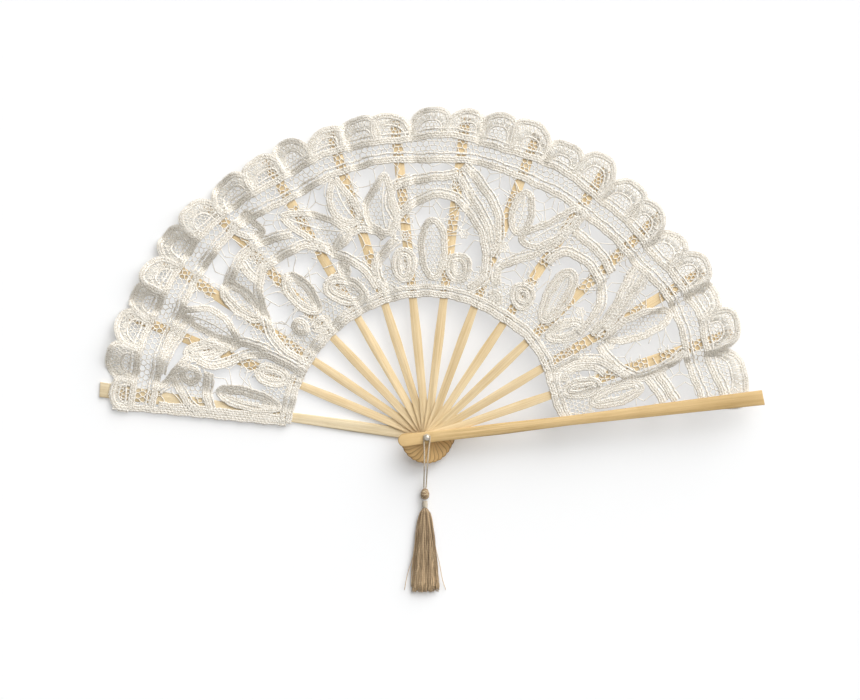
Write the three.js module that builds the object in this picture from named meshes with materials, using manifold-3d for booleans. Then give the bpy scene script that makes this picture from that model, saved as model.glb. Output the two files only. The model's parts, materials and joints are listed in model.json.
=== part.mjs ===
// Lace folding fan, spread open and lying on a table with its front side up.
// Millimetres, +Z up. The pivot's axis is Z, the table is Z = 0 and the fan spreads towards +Y.
// Fourteen bamboo ribs are stacked on one rivet. The lace leaf is glued on top of the ribs and
// folds once between each two of them, so it is made as one panel for each gap.
import * as THREE from 'three';
import { mergeVertices } from 'three/addons/utils/BufferGeometryUtils.js';
import Module from 'manifold-3d';

// Directions of the ribs in degrees from +X: the rear guard, twelve sticks, the front guard
const RIB_ANGLES = [171.8, 157.8, 146.1, 133.4, 120.2, 107.6, 95.8, 83.1, 70, 56.2, 43.6, 31, 18.9, 6.8];

// Stack of the ribs on the rivet
const GUARD_THICKNESS = 1.8;
const STICK_THICKNESS = 0.8;
const LAYER_GAP = 0.15;

// Inner stick: distances are from the pivot, widths are full widths
const STICK = {
  reach: 204,
  headReach: 16.8,
  headWidth: 7.6,
  pivotWidth: 6,
  waistAt: 32,
  waistWidth: 4.9,
  bellyAt: 57,
  bellyWidth: 6.4,
  neckAt: 84,
  neckWidth: 5,
  bladeAt: 112,
  bladeWidth: 6.2,
  tipWidth: 6.4,
  tipSlant: 0,
};

// Guards: the outer pair is thicker, longer and wider
const FRONT_GUARD = {
  reach: 214,
  headReach: 18.4,
  headWidth: 8.5,
  pivotWidth: 6.7,
  waistAt: 15,
  waistWidth: 6.9,
  bellyAt: 57,
  bellyWidth: 7.2,
  neckAt: 84,
  neckWidth: 6,
  bladeAt: 140,
  bladeWidth: 7.5,
  tipWidth: 9.5,
  tipSlant: 0.8,
};
const REAR_GUARD = { ...FRONT_GUARD, reach: 211, headReach: 17.6 };
const GUARD_EDGE = 0.35;

// Rivet through all the ribs, peened over a washer that is let into the rear guard
const SHANK_RADIUS = 1;
const SHANK_CLEARANCE = 0.3;
const DOME_RADIUS = 1.9;
const DOME_HEIGHT = 1.5;
const TAIL_RADIUS = 1.6;
const TAIL_HEIGHT = 0.4;
const WASHER_RADIUS = 2.2;
const WASHER_THICKNESS = 0.4;
const RECESS_CLEARANCE = 0.3;

// Tassel: a doubled cord looped on the rivet's neck, then bead, binding and skirt on the table
const CORD_DIAMETER = 0.9;
const CORD_CLEARANCE = 0.3;
const LOOP_SLACK = 0.2;
const EDGE_DROP = 0.9;
const BEAD_AT = 32.8;
const BEAD_LENGTH = 7.6;
const BEAD_RADIUS = 2.85;
const BEAD_RIDGES = 5;
const BEAD_FULLNESS = 0.7;
const BINDING_LENGTH = 4.4;
const BINDING_RADIUS = 1.75;
const BINDING_TURNS = 6;
const GROOVE_SHARE = 0.06;
const SKIRT_LENGTH = 54;
const SKIRT_TOP_RADIUS = 2;
const SKIRT_HALF_WIDTH = 9;
const SKIRT_HALF_THICKNESS = 2.7;
const SKIRT_FLARE = 0.45;
const SKIRT_RINGS = [0, 0.06, 0.2, 0.45, 0.75, 1];
const SKIRT_FLUTES = 12;
const FLUTE_SHARE = 0.1;
const TASSEL_LEAN = -1.3;
const TASSEL_GAP = 0.3;

// Lace leaf: radii from the pivot
const LEAF_THICKNESS = 0.6;
const LEAF_LIFT = 0.3;
const LEAF_CUT = 0.3;
const LEAF_EDGE_ANGLE = 174.8;
const EDGE_TAPE = 2.5;
const BASE_RADIUS = 88;
const LOWER_RING = 177.5;
const UPPER_RING = 190.8;
const TAPE_WIDTH = 3.6;
const SCALLOP_FOOT = 197;
const SCALLOP_REACH = 209.5;
const SCALLOP_HOLE_RADIUS = 199;
const SCALLOP_HOLE_WIDTH = 11;
const SCALLOP_HOLE_HEIGHT = 10.4;
const NET_CELLS = 3;
const ROW_MARGIN = 0.12;
const ROW_LEAN = 0.3;

// Motifs of the lace, drawn for this distance between two of them in degrees. An opening is
// degrees aside from the motif's middle line, radius, half width, half length and tilt.
const MOTIF_PITCH = 20.7;
// An oval between two rosettes, under an arch
const OVAL_ANGLES = [170, 131.5, 89, 47.5, 11.8];
const OVAL_MOTIF = [
  [0, 122, 4.2, 11.5, 0],
  [3.3, 119, 1.2, 13.5, 0],
  [6.5, 109.5, 1.2, 6.5, 0],
  [9.2, 109.5, 2.6, 5, 0],
  [11.9, 109.5, 1.2, 6.5, 0],
  [0, 145.2, 8, 3.8, 0],
  [5.7, 135.2, 4.8, 7.6, -49],
  [11.1, 124.8, 3.4, 6.2, -35],
  [2.6, 170.8, 6.8, 3, 0],
];
// The arch: two ellipses round a foot, and a row of net between them
const ARCH_FOOT = 108;
const ARCH_INNER = { halfWidth: 34, height: 44 };
const ARCH_OUTER = { halfWidth: 43, height: 56 };
const ARCH_CELLS = 6;
const ARCH_START = 55;
// A tulip of three petals over a spider, in the ground between two arches
const TULIP_ANGLES = [150.5, 110, 69, 28];
const TULIP_MOTIF = [
  [1.05, 157, 2, 10, 0],
  [7.7, 152.3, 2, 10.5, 24.6],
  [9.5, 150.1, 2, 10.5, 24.6],
  [3.8, 166, 4.2, 7, 6],
  [7.4, 170, 4.2, 4.2, 0],
  [2.9, 129, 3.6, 6.4, 14],
  [0, 115.5, 3.8, 5.6, 0],
  [0, 101, 2.2, 7.5, 0],
];

// Pleat of the leaf in each gap: shares of the gap from its left rib to its right one
const FLAT_SHARE = 0.14;
const VALLEY_SHARE = 0.24;
const RIDGE_SHARE = 0.58;
const FOLD_SHARES = [0, FLAT_SHARE, VALLEY_SHARE, RIDGE_SHARE];
const FOLD_AT_SIDES = 8;
const FOLD_IN_MIDDLE = 4.5;
const FOLD_AT_BASE = 1;
const VALLEY_PART = 0.65;
const TABLE_CLEARANCE = 0.2;

// Steps of round shapes, and the distance within which two points are one
const ROUND_STEPS = 16;
const OUTLINE_STEPS = 11;
const CURVE_STEPS = 5;
const WIDE_OPENING = 4.5;
const WIDE_OPENING_STEPS = 4;
const OPENING_STEPS = 3;
const SCALLOP_STEPS = 5;
const CORD_STEPS = 48;
const CORD_SIDES = 8;
const WINDING_STEPS = 14;
const WELD = 1e-3;

const GAP_COUNT = RIB_ANGLES.length - 1;
const LAYER_PITCH = STICK_THICKNESS + LAYER_GAP;
const FRONT_GUARD_BOTTOM = GUARD_THICKNESS + LAYER_GAP + (GAP_COUNT - 1) * LAYER_PITCH;
const STACK_TOP = FRONT_GUARD_BOTTOM + GUARD_THICKNESS;
const HOLE_RADIUS = SHANK_RADIUS + SHANK_CLEARANCE;
const DOME_BOTTOM = STACK_TOP + CORD_DIAMETER + 2 * CORD_CLEARANCE;

const wasm = await Module();
wasm.setup();

const radians = THREE.MathUtils.degToRad;

function material(color, roughness, metalness = 0) {
  return new THREE.MeshStandardMaterial({ color, roughness, metalness });
}

const bamboo = material(0xe3c98c, 0.55);
const guardBamboo = material(0xdfc07c, 0.5);
const steel = material(0xb9babd, 0.3, 1);
const laceCotton = material(0xf0ece2, 0.9);
const tasselThread = material(0x9c8468, 0.8);
const bindingThread = material(0xe6dcb8, 0.5);
const beadThread = material(0x7a6048, 0.75);

// A closed geometry as a solid that can be joined and cut
function toSolid(geometry) {
  const bare = geometry.clone();
  bare.deleteAttribute('normal');
  bare.deleteAttribute('uv');
  const merged = mergeVertices(bare, 1e-5);
  return new wasm.Manifold(new wasm.Mesh({
    numProp: 3,
    vertProperties: new Float32Array(merged.attributes.position.array),
    triVerts: new Uint32Array(merged.index.array),
  }));
}

function toGeometry(solid) {
  const mesh = solid.getMesh();
  const geometry = new THREE.BufferGeometry();
  geometry.setAttribute('position', new THREE.BufferAttribute(new Float32Array(mesh.vertProperties), 3));
  geometry.setIndex(new THREE.BufferAttribute(new Uint32Array(mesh.triVerts), 1));
  geometry.computeVertexNormals();
  return geometry;
}

function namedMesh(name, geometry, surface) {
  const mesh = new THREE.Mesh(geometry, surface);
  mesh.name = name;
  return mesh;
}

function slab(shape, depth, curveSegments = CURVE_STEPS) {
  return new THREE.ExtrudeGeometry(shape, { depth, bevelEnabled: false, steps: 1, curveSegments });
}

// Height of the top face of a rib, counted from the rear guard
function ribTop(index) {
  return GUARD_THICKNESS + index * LAYER_PITCH;
}

// Outline of a rib that points along +X, with its round head behind the pivot
function ribShape(size) {
  const headRadius = size.headWidth / 2;
  const headCentre = headRadius - size.headReach;
  const side = new THREE.SplineCurve([
    new THREE.Vector2(headCentre, headRadius),
    new THREE.Vector2(0, size.pivotWidth / 2),
    new THREE.Vector2(size.waistAt, size.waistWidth / 2),
    new THREE.Vector2(size.bellyAt, size.bellyWidth / 2),
    new THREE.Vector2(size.neckAt, size.neckWidth / 2),
    new THREE.Vector2(size.bladeAt, size.bladeWidth / 2),
    new THREE.Vector2(size.reach, size.tipWidth / 2),
  ]).getSpacedPoints(OUTLINE_STEPS);
  const shape = new THREE.Shape();
  shape.absarc(headCentre, 0, headRadius, Math.PI / 2, 1.5 * Math.PI, false);
  side.slice(1).forEach((point) => shape.lineTo(point.x, -point.y));
  side.slice(1).reverse().forEach((point, step) => {
    shape.lineTo(point.x - (step === 0 ? size.tipSlant : 0), point.y);
  });
  const hole = new THREE.Path();
  hole.absarc(0, 0, HOLE_RADIUS, 0, 2 * Math.PI, true);
  shape.holes.push(hole);
  return shape;
}

function stick(index) {
  const geometry = slab(ribShape(STICK), STICK_THICKNESS);
  const number = String(index).padStart(2, '0');
  const mesh = namedMesh(`stick_${number}`, geometry, bamboo);
  mesh.position.z = ribTop(index) - STICK_THICKNESS;
  mesh.rotation.z = radians(RIB_ANGLES[index]);
  return mesh;
}

// A guard with softened edges
function guardGeometry(size) {
  const geometry = new THREE.ExtrudeGeometry(ribShape(size), {
    depth: GUARD_THICKNESS - 2 * GUARD_EDGE,
    bevelThickness: GUARD_EDGE,
    bevelSize: GUARD_EDGE,
    bevelOffset: -GUARD_EDGE,
    bevelSegments: 1,
    curveSegments: CURVE_STEPS,
    steps: 1,
  });
  return geometry.translate(0, 0, GUARD_EDGE);
}

function frontGuard() {
  const mesh = namedMesh('front_guard', guardGeometry(FRONT_GUARD), guardBamboo);
  mesh.position.z = FRONT_GUARD_BOTTOM;
  mesh.rotation.z = radians(RIB_ANGLES[GAP_COUNT]);
  return mesh;
}

// The rear guard has a recess below, in which the washer and the rivet's tail lie flush
function rearGuard() {
  const depth = TAIL_HEIGHT + WASHER_THICKNESS;
  const radius = WASHER_RADIUS + RECESS_CLEARANCE;
  const cutter = new THREE.CylinderGeometry(radius, radius, 2 * depth, ROUND_STEPS);
  cutter.rotateX(Math.PI / 2);
  const body = toSolid(guardGeometry(REAR_GUARD)).subtract(toSolid(cutter));
  const mesh = namedMesh('rear_guard', toGeometry(body), guardBamboo);
  mesh.rotation.z = radians(RIB_ANGLES[0]);
  return mesh;
}

// A turned piece about Z, from a profile of radius and height
function turned(profile, steps = ROUND_STEPS) {
  const points = profile.map(([radius, height]) => new THREE.Vector2(radius, height));
  return new THREE.LatheGeometry(points, steps).rotateX(Math.PI / 2);
}

function rivet() {
  const dome = [];
  for (let step = 0; step <= 4; step += 1) {
    const turn = (step / 4) * Math.PI / 2;
    dome.push([DOME_RADIUS * Math.cos(turn), DOME_BOTTOM + DOME_HEIGHT * Math.sin(turn)]);
  }
  dome[dome.length - 1][0] = 0;
  const profile = [
    [0, 0],
    [TAIL_RADIUS, 0],
    [TAIL_RADIUS, TAIL_HEIGHT],
    [SHANK_RADIUS, TAIL_HEIGHT],
    [SHANK_RADIUS, DOME_BOTTOM],
    ...dome,
  ];
  return namedMesh('rivet', turned(profile), steel);
}

function rivetWasher() {
  const inner = SHANK_RADIUS + SHANK_CLEARANCE / 2;
  const top = TAIL_HEIGHT + WASHER_THICKNESS;
  const profile = [
    [inner, TAIL_HEIGHT],
    [WASHER_RADIUS, TAIL_HEIGHT],
    [WASHER_RADIUS, top],
    [inner, top],
    [inner, TAIL_HEIGHT],
  ];
  return namedMesh('rivet_washer', turned(profile), steel);
}

// Route of the doubled cord: out of the bead, up over the stack's edge, round the rivet and back
function cordRoute() {
  const loop = SHANK_RADIUS + CORD_CLEARANCE + CORD_DIAMETER / 2 + LOOP_SLACK;
  const top = STACK_TOP + CORD_CLEARANCE + CORD_DIAMETER / 2;
  const strand = [
    [0.7, -BEAD_AT + TASSEL_GAP, BEAD_RADIUS],
    [0.8, -29, 3.3],
    [0.85, -25, 6],
    [0.9, -22, 11.5],
    [0.95, -19.4, top - EDGE_DROP],
    [1, -16, top],
    [1.35, -8, top],
    [loop, 0, top],
  ];
  const lean = (y) => (TASSEL_LEAN * y) / -BEAD_AT;
  const right = strand.map(([x, y, z]) => new THREE.Vector3(x + lean(y), y, z));
  const left = strand.map(([x, y, z]) => new THREE.Vector3(-x + lean(y), y, z));
  const turn = [135, 90, 45].map((angle) => (
    new THREE.Vector3(loop * Math.cos(radians(angle)), loop * Math.sin(radians(angle)), top)));
  return new THREE.CatmullRomCurve3([...left, ...turn, ...right.reverse()]);
}

function tasselCord() {
  const section = new THREE.Shape();
  section.absarc(0, 0, CORD_DIAMETER / 2, 0, 2 * Math.PI, false);
  const geometry = new THREE.ExtrudeGeometry(section, {
    steps: CORD_STEPS,
    curveSegments: CORD_SIDES / 2,
    extrudePath: cordRoute(),
  });
  return namedMesh('tassel_cord', geometry, tasselThread);
}

// A turned piece that lies along -Y on the table, starting at a distance from the pivot
function lying(name, profile, start, surface, steps) {
  const points = profile.map(([along, radius]) => new THREE.Vector2(radius, -along));
  const mesh = namedMesh(name, new THREE.LatheGeometry(points.reverse(), steps), surface);
  mesh.position.set(TASSEL_LEAN, -start, BEAD_RADIUS);
  return mesh;
}

function tasselBead() {
  const profile = [];
  const last = 2 * BEAD_RIDGES;
  for (let step = 0; step <= last; step += 1) {
    const turn = (step / last) * Math.PI;
    const ridge = step % 2 === 0 ? 1 : 1 - GROOVE_SHARE;
    const radius = BEAD_RADIUS * Math.sin(turn) ** BEAD_FULLNESS * ridge;
    profile.push([BEAD_LENGTH * (1 - Math.cos(turn)) / 2, step === last ? 0 : radius]);
  }
  return lying('tassel_bead', profile, BEAD_AT, beadThread, WINDING_STEPS);
}

function tasselBinding() {
  const profile = [[0, 0]];
  const groove = BINDING_RADIUS * (1 - 2 * GROOVE_SHARE);
  const pitch = BINDING_LENGTH / BINDING_TURNS;
  for (let turn = 0; turn < BINDING_TURNS; turn += 1) {
    profile.push([turn * pitch, groove], [(turn + 0.5) * pitch, BINDING_RADIUS]);
  }
  profile.push([BINDING_LENGTH, groove], [BINDING_LENGTH, 0]);
  const start = BEAD_AT + BEAD_LENGTH + TASSEL_GAP;
  return lying('tassel_binding', profile, start, bindingThread, WINDING_STEPS);
}

// The skirt of threads widens and flattens towards its cut end, with shallow flutes
function tasselSkirt() {
  const sides = 2 * SKIRT_FLUTES;
  const positions = [];
  SKIRT_RINGS.forEach((along) => {
    const spread = along ** SKIRT_FLARE;
    const halfWidth = THREE.MathUtils.lerp(SKIRT_TOP_RADIUS, SKIRT_HALF_WIDTH, spread);
    const halfThickness = THREE.MathUtils.lerp(SKIRT_TOP_RADIUS, SKIRT_HALF_THICKNESS, spread);
    for (let side = 0; side < sides; side += 1) {
      const turn = (side / sides) * 2 * Math.PI;
      const flute = side % 2 === 0 ? 1 : 1 - FLUTE_SHARE;
      positions.push(
        halfWidth * flute * Math.cos(turn),
        -along * SKIRT_LENGTH,
        halfThickness * flute * Math.sin(turn),
      );
    }
  });
  const index = [];
  const last = (SKIRT_RINGS.length - 1) * sides;
  for (let ring = 0; ring < SKIRT_RINGS.length - 1; ring += 1) {
    for (let side = 0; side < sides; side += 1) {
      const next = (side + 1) % sides;
      const [a, b] = [ring * sides + side, ring * sides + next];
      index.push(a, b, a + sides, b, b + sides, a + sides);
    }
  }
  for (let side = 1; side < sides - 1; side += 1) {
    index.push(0, side + 1, side, last, last + side, last + side + 1);
  }
  const geometry = new THREE.BufferGeometry();
  geometry.setAttribute('position', new THREE.Float32BufferAttribute(positions, 3));
  geometry.setIndex(index);
  geometry.computeVertexNormals();
  const mesh = namedMesh('tassel_skirt', geometry, tasselThread);
  const start = BEAD_AT + BEAD_LENGTH + BINDING_LENGTH + 2 * TASSEL_GAP;
  mesh.position.set(TASSEL_LEAN, -start, BEAD_RADIUS);
  return mesh;
}

// The lace is drawn flat in polar places: angle in degrees and radius
function place([angle, radius]) {
  return new THREE.Vector2(radius * Math.cos(radians(angle)), radius * Math.sin(radians(angle)));
}

// Direction at a share of the way from a gap's left rib to its right one
function gapAngle(index, share) {
  return THREE.MathUtils.lerp(RIB_ANGLES[index], RIB_ANGLES[index + 1], share);
}

const gaps = RIB_ANGLES.slice(1).map((_, index) => index);

// Outline of the whole leaf: two scallops to a gap outside, straight runs between the folds inside
function leafShape() {
  const quarters = gaps.flatMap((index) => [gapAngle(index, 0.25), gapAngle(index, 0.75)]);
  const edges = [LEAF_EDGE_ANGLE, ...quarters, RIB_ANGLES[GAP_COUNT]];
  const outer = edges.slice(1).flatMap((right, index) => {
    const left = edges[index];
    return [...Array(SCALLOP_STEPS).keys()].map((step) => {
      const turn = (step / SCALLOP_STEPS) * Math.PI;
      const angle = THREE.MathUtils.lerp(left, right, (1 - Math.cos(turn)) / 2);
      return place([angle, THREE.MathUtils.lerp(SCALLOP_FOOT, SCALLOP_REACH, Math.sin(turn))]);
    });
  });
  const folds = gaps.flatMap((index) => FOLD_SHARES.map((share) => gapAngle(index, share)));
  const inner = [LEAF_EDGE_ANGLE, ...folds, RIB_ANGLES[GAP_COUNT]].map((angle) => (
    place([angle, BASE_RADIUS])));
  return new THREE.Shape([...inner, place([RIB_ANGLES[GAP_COUNT], SCALLOP_FOOT]), ...outer.reverse()]);
}

// A round opening between the tapes, tilted against the radius through its middle
function roundOpening([angle, radius, halfAcross, halfAlong, tilt = 0]) {
  const { x, y } = place([angle, radius]);
  const shape = new THREE.Shape();
  shape.absellipse(x, y, halfAlong, halfAcross, 0, 2 * Math.PI, false, radians(angle + tilt));
  return cutter(shape, halfAcross > WIDE_OPENING ? WIDE_OPENING_STEPS : OPENING_STEPS);
}

function cutter(shape, steps = OPENING_STEPS) {
  return toSolid(slab(shape, 3 * LEAF_THICKNESS, steps).translate(0, 0, -LEAF_THICKNESS));
}

// A row of openings in each gap between two tapes, with threads between them
function openingRow(inner, outer, perGap) {
  return gaps.flatMap((index) => [...Array(perGap).keys()].map((cell) => {
    const left = gapAngle(index, (cell + ROW_MARGIN) / perGap);
    const right = gapAngle(index, (cell + 1 - ROW_MARGIN) / perGap);
    const lean = (right - left) * ROW_LEAN;
    return cutter(new THREE.Shape([
      place([left, inner]),
      place([right - lean, inner]),
      place([right, outer]),
      place([left + lean, outer]),
    ]));
  }));
}

// How far a motif is drawn together where its neighbours stand closer than the pitch
function motifScale(centre) {
  const others = [...OVAL_ANGLES, ...TULIP_ANGLES].filter((angle) => angle !== centre);
  return Math.min(...others.map((angle) => Math.abs(angle - centre))) / MOTIF_PITCH;
}

// One motif repeated round the leaf, each opening once on both sides of its middle line
function motifOpenings(centres, openings) {
  return centres.flatMap((centre) => {
    const scale = motifScale(centre);
    return openings.flatMap(([aside, radius, across, along, tilt]) => {
      const sides = aside === 0 ? [1] : [1, -1];
      return sides.map((side) => (
        [centre + side * aside * scale, radius, across * scale, along, side * tilt]));
    });
  }).filter(([angle, radius, across]) => insideEdges(angle, radius, across)).map(roundOpening);
}

// Whether an opening leaves the tape along the leaf's two side edges whole
function insideEdges(angle, radius, across) {
  const reach = THREE.MathUtils.radToDeg((across + EDGE_TAPE) / radius);
  return angle + reach < LEAF_EDGE_ANGLE && angle - reach > RIB_ANGLES[GAP_COUNT];
}

// The row of net between the two ellipses of one arch
function archOpenings(centre) {
  const scale = motifScale(centre);
  const across = new THREE.Vector2(-Math.sin(radians(centre)), Math.cos(radians(centre)));
  const onEllipse = ({ halfWidth, height }, tape, turn) => (
    place([centre, ARCH_FOOT + (height + tape) * Math.sin(turn)])
      .addScaledVector(across, -(halfWidth + tape) * scale * Math.cos(turn)));
  const turnAt = (share) => radians(THREE.MathUtils.lerp(ARCH_START, 180 - ARCH_START, share));
  const shapes = [...Array(ARCH_CELLS).keys()].map((cell) => {
    const start = turnAt((cell + ROW_MARGIN) / ARCH_CELLS);
    const end = turnAt((cell + 1 - ROW_MARGIN) / ARCH_CELLS);
    const half = TAPE_WIDTH / 2;
    return [
      onEllipse(ARCH_INNER, half, end),
      onEllipse(ARCH_INNER, half, start),
      onEllipse(ARCH_OUTER, -half, start),
      onEllipse(ARCH_OUTER, -half, end),
    ];
  });
  const insideLeaf = (point) => (
    insideEdges(THREE.MathUtils.radToDeg(point.angle()), point.length(), 0));
  return shapes.filter((corners) => corners.every(insideLeaf))
    .map((corners) => cutter(new THREE.Shape(corners)));
}

// The whole leaf, flat, as one solid
function flatLace() {
  const middles = gaps.map((index) => gapAngle(index, 0.5));
  const scallopHoles = [...middles, ...RIB_ANGLES.slice(1, -1)].map((angle) => (
    roundOpening([angle, SCALLOP_HOLE_RADIUS, SCALLOP_HOLE_WIDTH / 2, SCALLOP_HOLE_HEIGHT / 2])));
  const openings = [
    ...scallopHoles,
    ...openingRow(LOWER_RING + TAPE_WIDTH / 2, UPPER_RING - TAPE_WIDTH / 2, NET_CELLS),
    ...OVAL_ANGLES.flatMap(archOpenings),
    ...motifOpenings(OVAL_ANGLES, OVAL_MOTIF),
    ...motifOpenings(TULIP_ANGLES, TULIP_MOTIF),
  ];
  const sheet = toSolid(slab(leafShape(), LEAF_THICKNESS));
  return openings.reduce((whole, opening) => whole.subtract(opening), sheet).asOriginal();
}

// The part of the flat leaf between two directions, moved in by a share of the cut at each side
function wedge(left, right, leftInset, rightInset) {
  const corner = ([angle, radius], offset) => {
    const turn = radians(angle);
    const across = new THREE.Vector2(-Math.sin(turn), Math.cos(turn));
    return place([angle, radius]).addScaledVector(across, offset);
  };
  const [inner, outer] = [BASE_RADIUS / 2, SCALLOP_REACH * 1.2];
  return cutter(new THREE.Shape([
    corner([left, inner], -leftInset),
    corner([right, inner], rightInset),
    corner([right, outer], rightInset),
    corner([left, outer], -leftInset),
  ]));
}

// Height of the leaf's lower face where it lies on a rib, or under the front guard
function leafLevel(index) {
  if (index === GAP_COUNT) return FRONT_GUARD_BOTTOM - LEAF_LIFT - LEAF_THICKNESS;
  return ribTop(index) + LEAF_LIFT;
}

// Depth of one gap's valley and height of its ridge at the outer edge. The table limits the valley,
// and the last panel has no ridge, because it lies flat under the front guard.
function foldOf(index) {
  const sideways = Math.min(Math.abs(gapAngle(index, 0.5) - 90) / 80, 1);
  const fold = THREE.MathUtils.lerp(FOLD_IN_MIDDLE, FOLD_AT_SIDES, sideways);
  const valley = Math.min(fold * VALLEY_PART, leafLevel(index) - TABLE_CLEARANCE);
  return { valley, ridge: index === GAP_COUNT - 1 ? 0 : fold - valley };
}

// Height of the leaf's lower face in one gap: flat on the left rib, then a valley and a ridge
function leafHeight(index, angle, radius) {
  const share = (RIB_ANGLES[index] - angle) / (RIB_ANGLES[index] - RIB_ANGLES[index + 1]);
  const { valley, ridge } = foldOf(index);
  const outward = (radius - BASE_RADIUS) / (SCALLOP_REACH - BASE_RADIUS);
  const growth = THREE.MathUtils.lerp(FOLD_AT_BASE / FOLD_AT_SIDES, 1, outward);
  const start = leafLevel(index);
  const rise = leafLevel(index + 1) - start;
  const profile = [
    [FLAT_SHARE, 0],
    [VALLEY_SHARE, -valley * growth],
    [RIDGE_SHARE, rise + ridge * growth],
    [1, rise],
  ];
  if (share <= FLAT_SHARE) return start;
  if (share >= 1) return start + rise;
  const next = profile.findIndex(([at]) => share <= at);
  const [[at0, z0], [at1, z1]] = [profile[next - 1], profile[next]];
  return start + THREE.MathUtils.mapLinear(share, at0, at1, z0, z1);
}

// Gives each triangle that ends on a fold line the points that its neighbour has on that line
function stitch(points, triangles, foldOfPoint) {
  const same = (a, b) => Math.abs(points[a][2] - points[b][2]) < WELD && foldOfPoint[a] === foldOfPoint[b];
  const radius = (a) => Math.hypot(points[a][0], points[a][1]);
  return triangles.flatMap((triangle) => {
    const at = triangle.findIndex((a, corner) => foldOfPoint[a] >= 0 && same(a, triangle[(corner + 1) % 3]));
    if (at < 0) return [triangle];
    const [a, b, c] = [0, 1, 2].map((step) => triangle[(at + step) % 3]);
    const between = points.map((_, other) => other).filter((other) => (
      same(other, a) && (radius(other) - radius(a)) * (radius(b) - radius(other)) > 0));
    between.sort((p, q) => (radius(p) - radius(q)) * Math.sign(radius(b) - radius(a)));
    return [...between, b].map((next, step) => [step === 0 ? a : between[step - 1], next, c]);
  });
}

// Joins flat pieces that meet along fold lines into one list of points and triangles
function weld(pieces, foldAngles) {
  const points = [];
  const triangles = [];
  const pointAt = (point) => {
    const known = points.findIndex((other) => other.every((value, axis) => (
      Math.abs(value - point[axis]) < WELD)));
    return known >= 0 ? known : points.push(point) - 1;
  };
  pieces.forEach((piece) => {
    const { vertProperties, triVerts } = piece.getMesh();
    const corners = [];
    for (let at = 0; at < vertProperties.length; at += 3) {
      corners.push(pointAt(Array.from(vertProperties.slice(at, at + 3))));
    }
    for (let at = 0; at < triVerts.length; at += 3) {
      triangles.push(Array.from(triVerts.slice(at, at + 3)).map((corner) => corners[corner]));
    }
  });
  const foldOfPoint = points.map(([x, y]) => foldAngles.findIndex((angle) => (
    Math.abs(y * Math.cos(radians(angle)) - x * Math.sin(radians(angle))) < WELD)));
  const onOneFold = (triangle) => triangle.every((corner) => (
    foldOfPoint[corner] >= 0 && foldOfPoint[corner] === foldOfPoint[triangle[0]]));
  const faces = triangles.filter((triangle) => new Set(triangle).size === 3 && !onOneFold(triangle));
  return { points, triangles: stitch(points, faces, foldOfPoint) };
}

// One panel of the leaf: cut from the flat lace along its folds and laid over its two ribs
function leafPanel(lace, index) {
  const left = index === 0 ? LEAF_EDGE_ANGLE + 1 : RIB_ANGLES[index];
  const folds = FOLD_SHARES.slice(1).map((share) => gapAngle(index, share));
  const lines = [left, ...folds, RIB_ANGLES[index + 1]];
  const pieces = lines.slice(1).map((right, at) => {
    const leftInset = at === 0 ? LEAF_CUT / 2 : 0;
    const rightInset = at === folds.length ? LEAF_CUT / 2 : 0;
    return lace.intersect(wedge(lines[at], right, leftInset, rightInset));
  });
  const { points, triangles } = weld(pieces, folds);
  const draped = points.flatMap(([x, y, z]) => {
    const angle = THREE.MathUtils.radToDeg(Math.atan2(y, x));
    return [x, y, z + leafHeight(index, angle, Math.hypot(x, y))];
  });
  const geometry = new THREE.BufferGeometry();
  geometry.setAttribute('position', new THREE.Float32BufferAttribute(draped, 3));
  geometry.setIndex(triangles.flat());
  geometry.computeVertexNormals();
  return namedMesh(`leaf_panel_${String(index + 1).padStart(2, '0')}`, geometry, laceCotton);
}

function buildFan() {
  const fan = new THREE.Group();
  fan.add(rearGuard(), rivet(), rivetWasher());
  for (let index = 1; index < GAP_COUNT; index += 1) fan.add(stick(index));
  fan.add(frontGuard());
  const lace = flatLace();
  for (let index = 0; index < GAP_COUNT; index += 1) fan.add(leafPanel(lace, index));
  fan.add(tasselCord(), tasselBead(), tasselBinding(), tasselSkirt());
  return fan;
}

export default buildFan();
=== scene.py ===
"""A lace folding fan, opened flat on a white table.

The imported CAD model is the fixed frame. This script dresses it: carved bamboo sticks on one
rivet, a pleated leaf of tape lace, and a thread tassel on a doubled cord. The classes keep
their sizes in millimetres and degrees, and the finished meshes are in metres.
"""

import json
import logging
import math
from dataclasses import dataclass, field
from enum import Enum

import bmesh
import bpy
import numpy as np
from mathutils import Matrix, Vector
from mathutils.kdtree import KDTree

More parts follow.
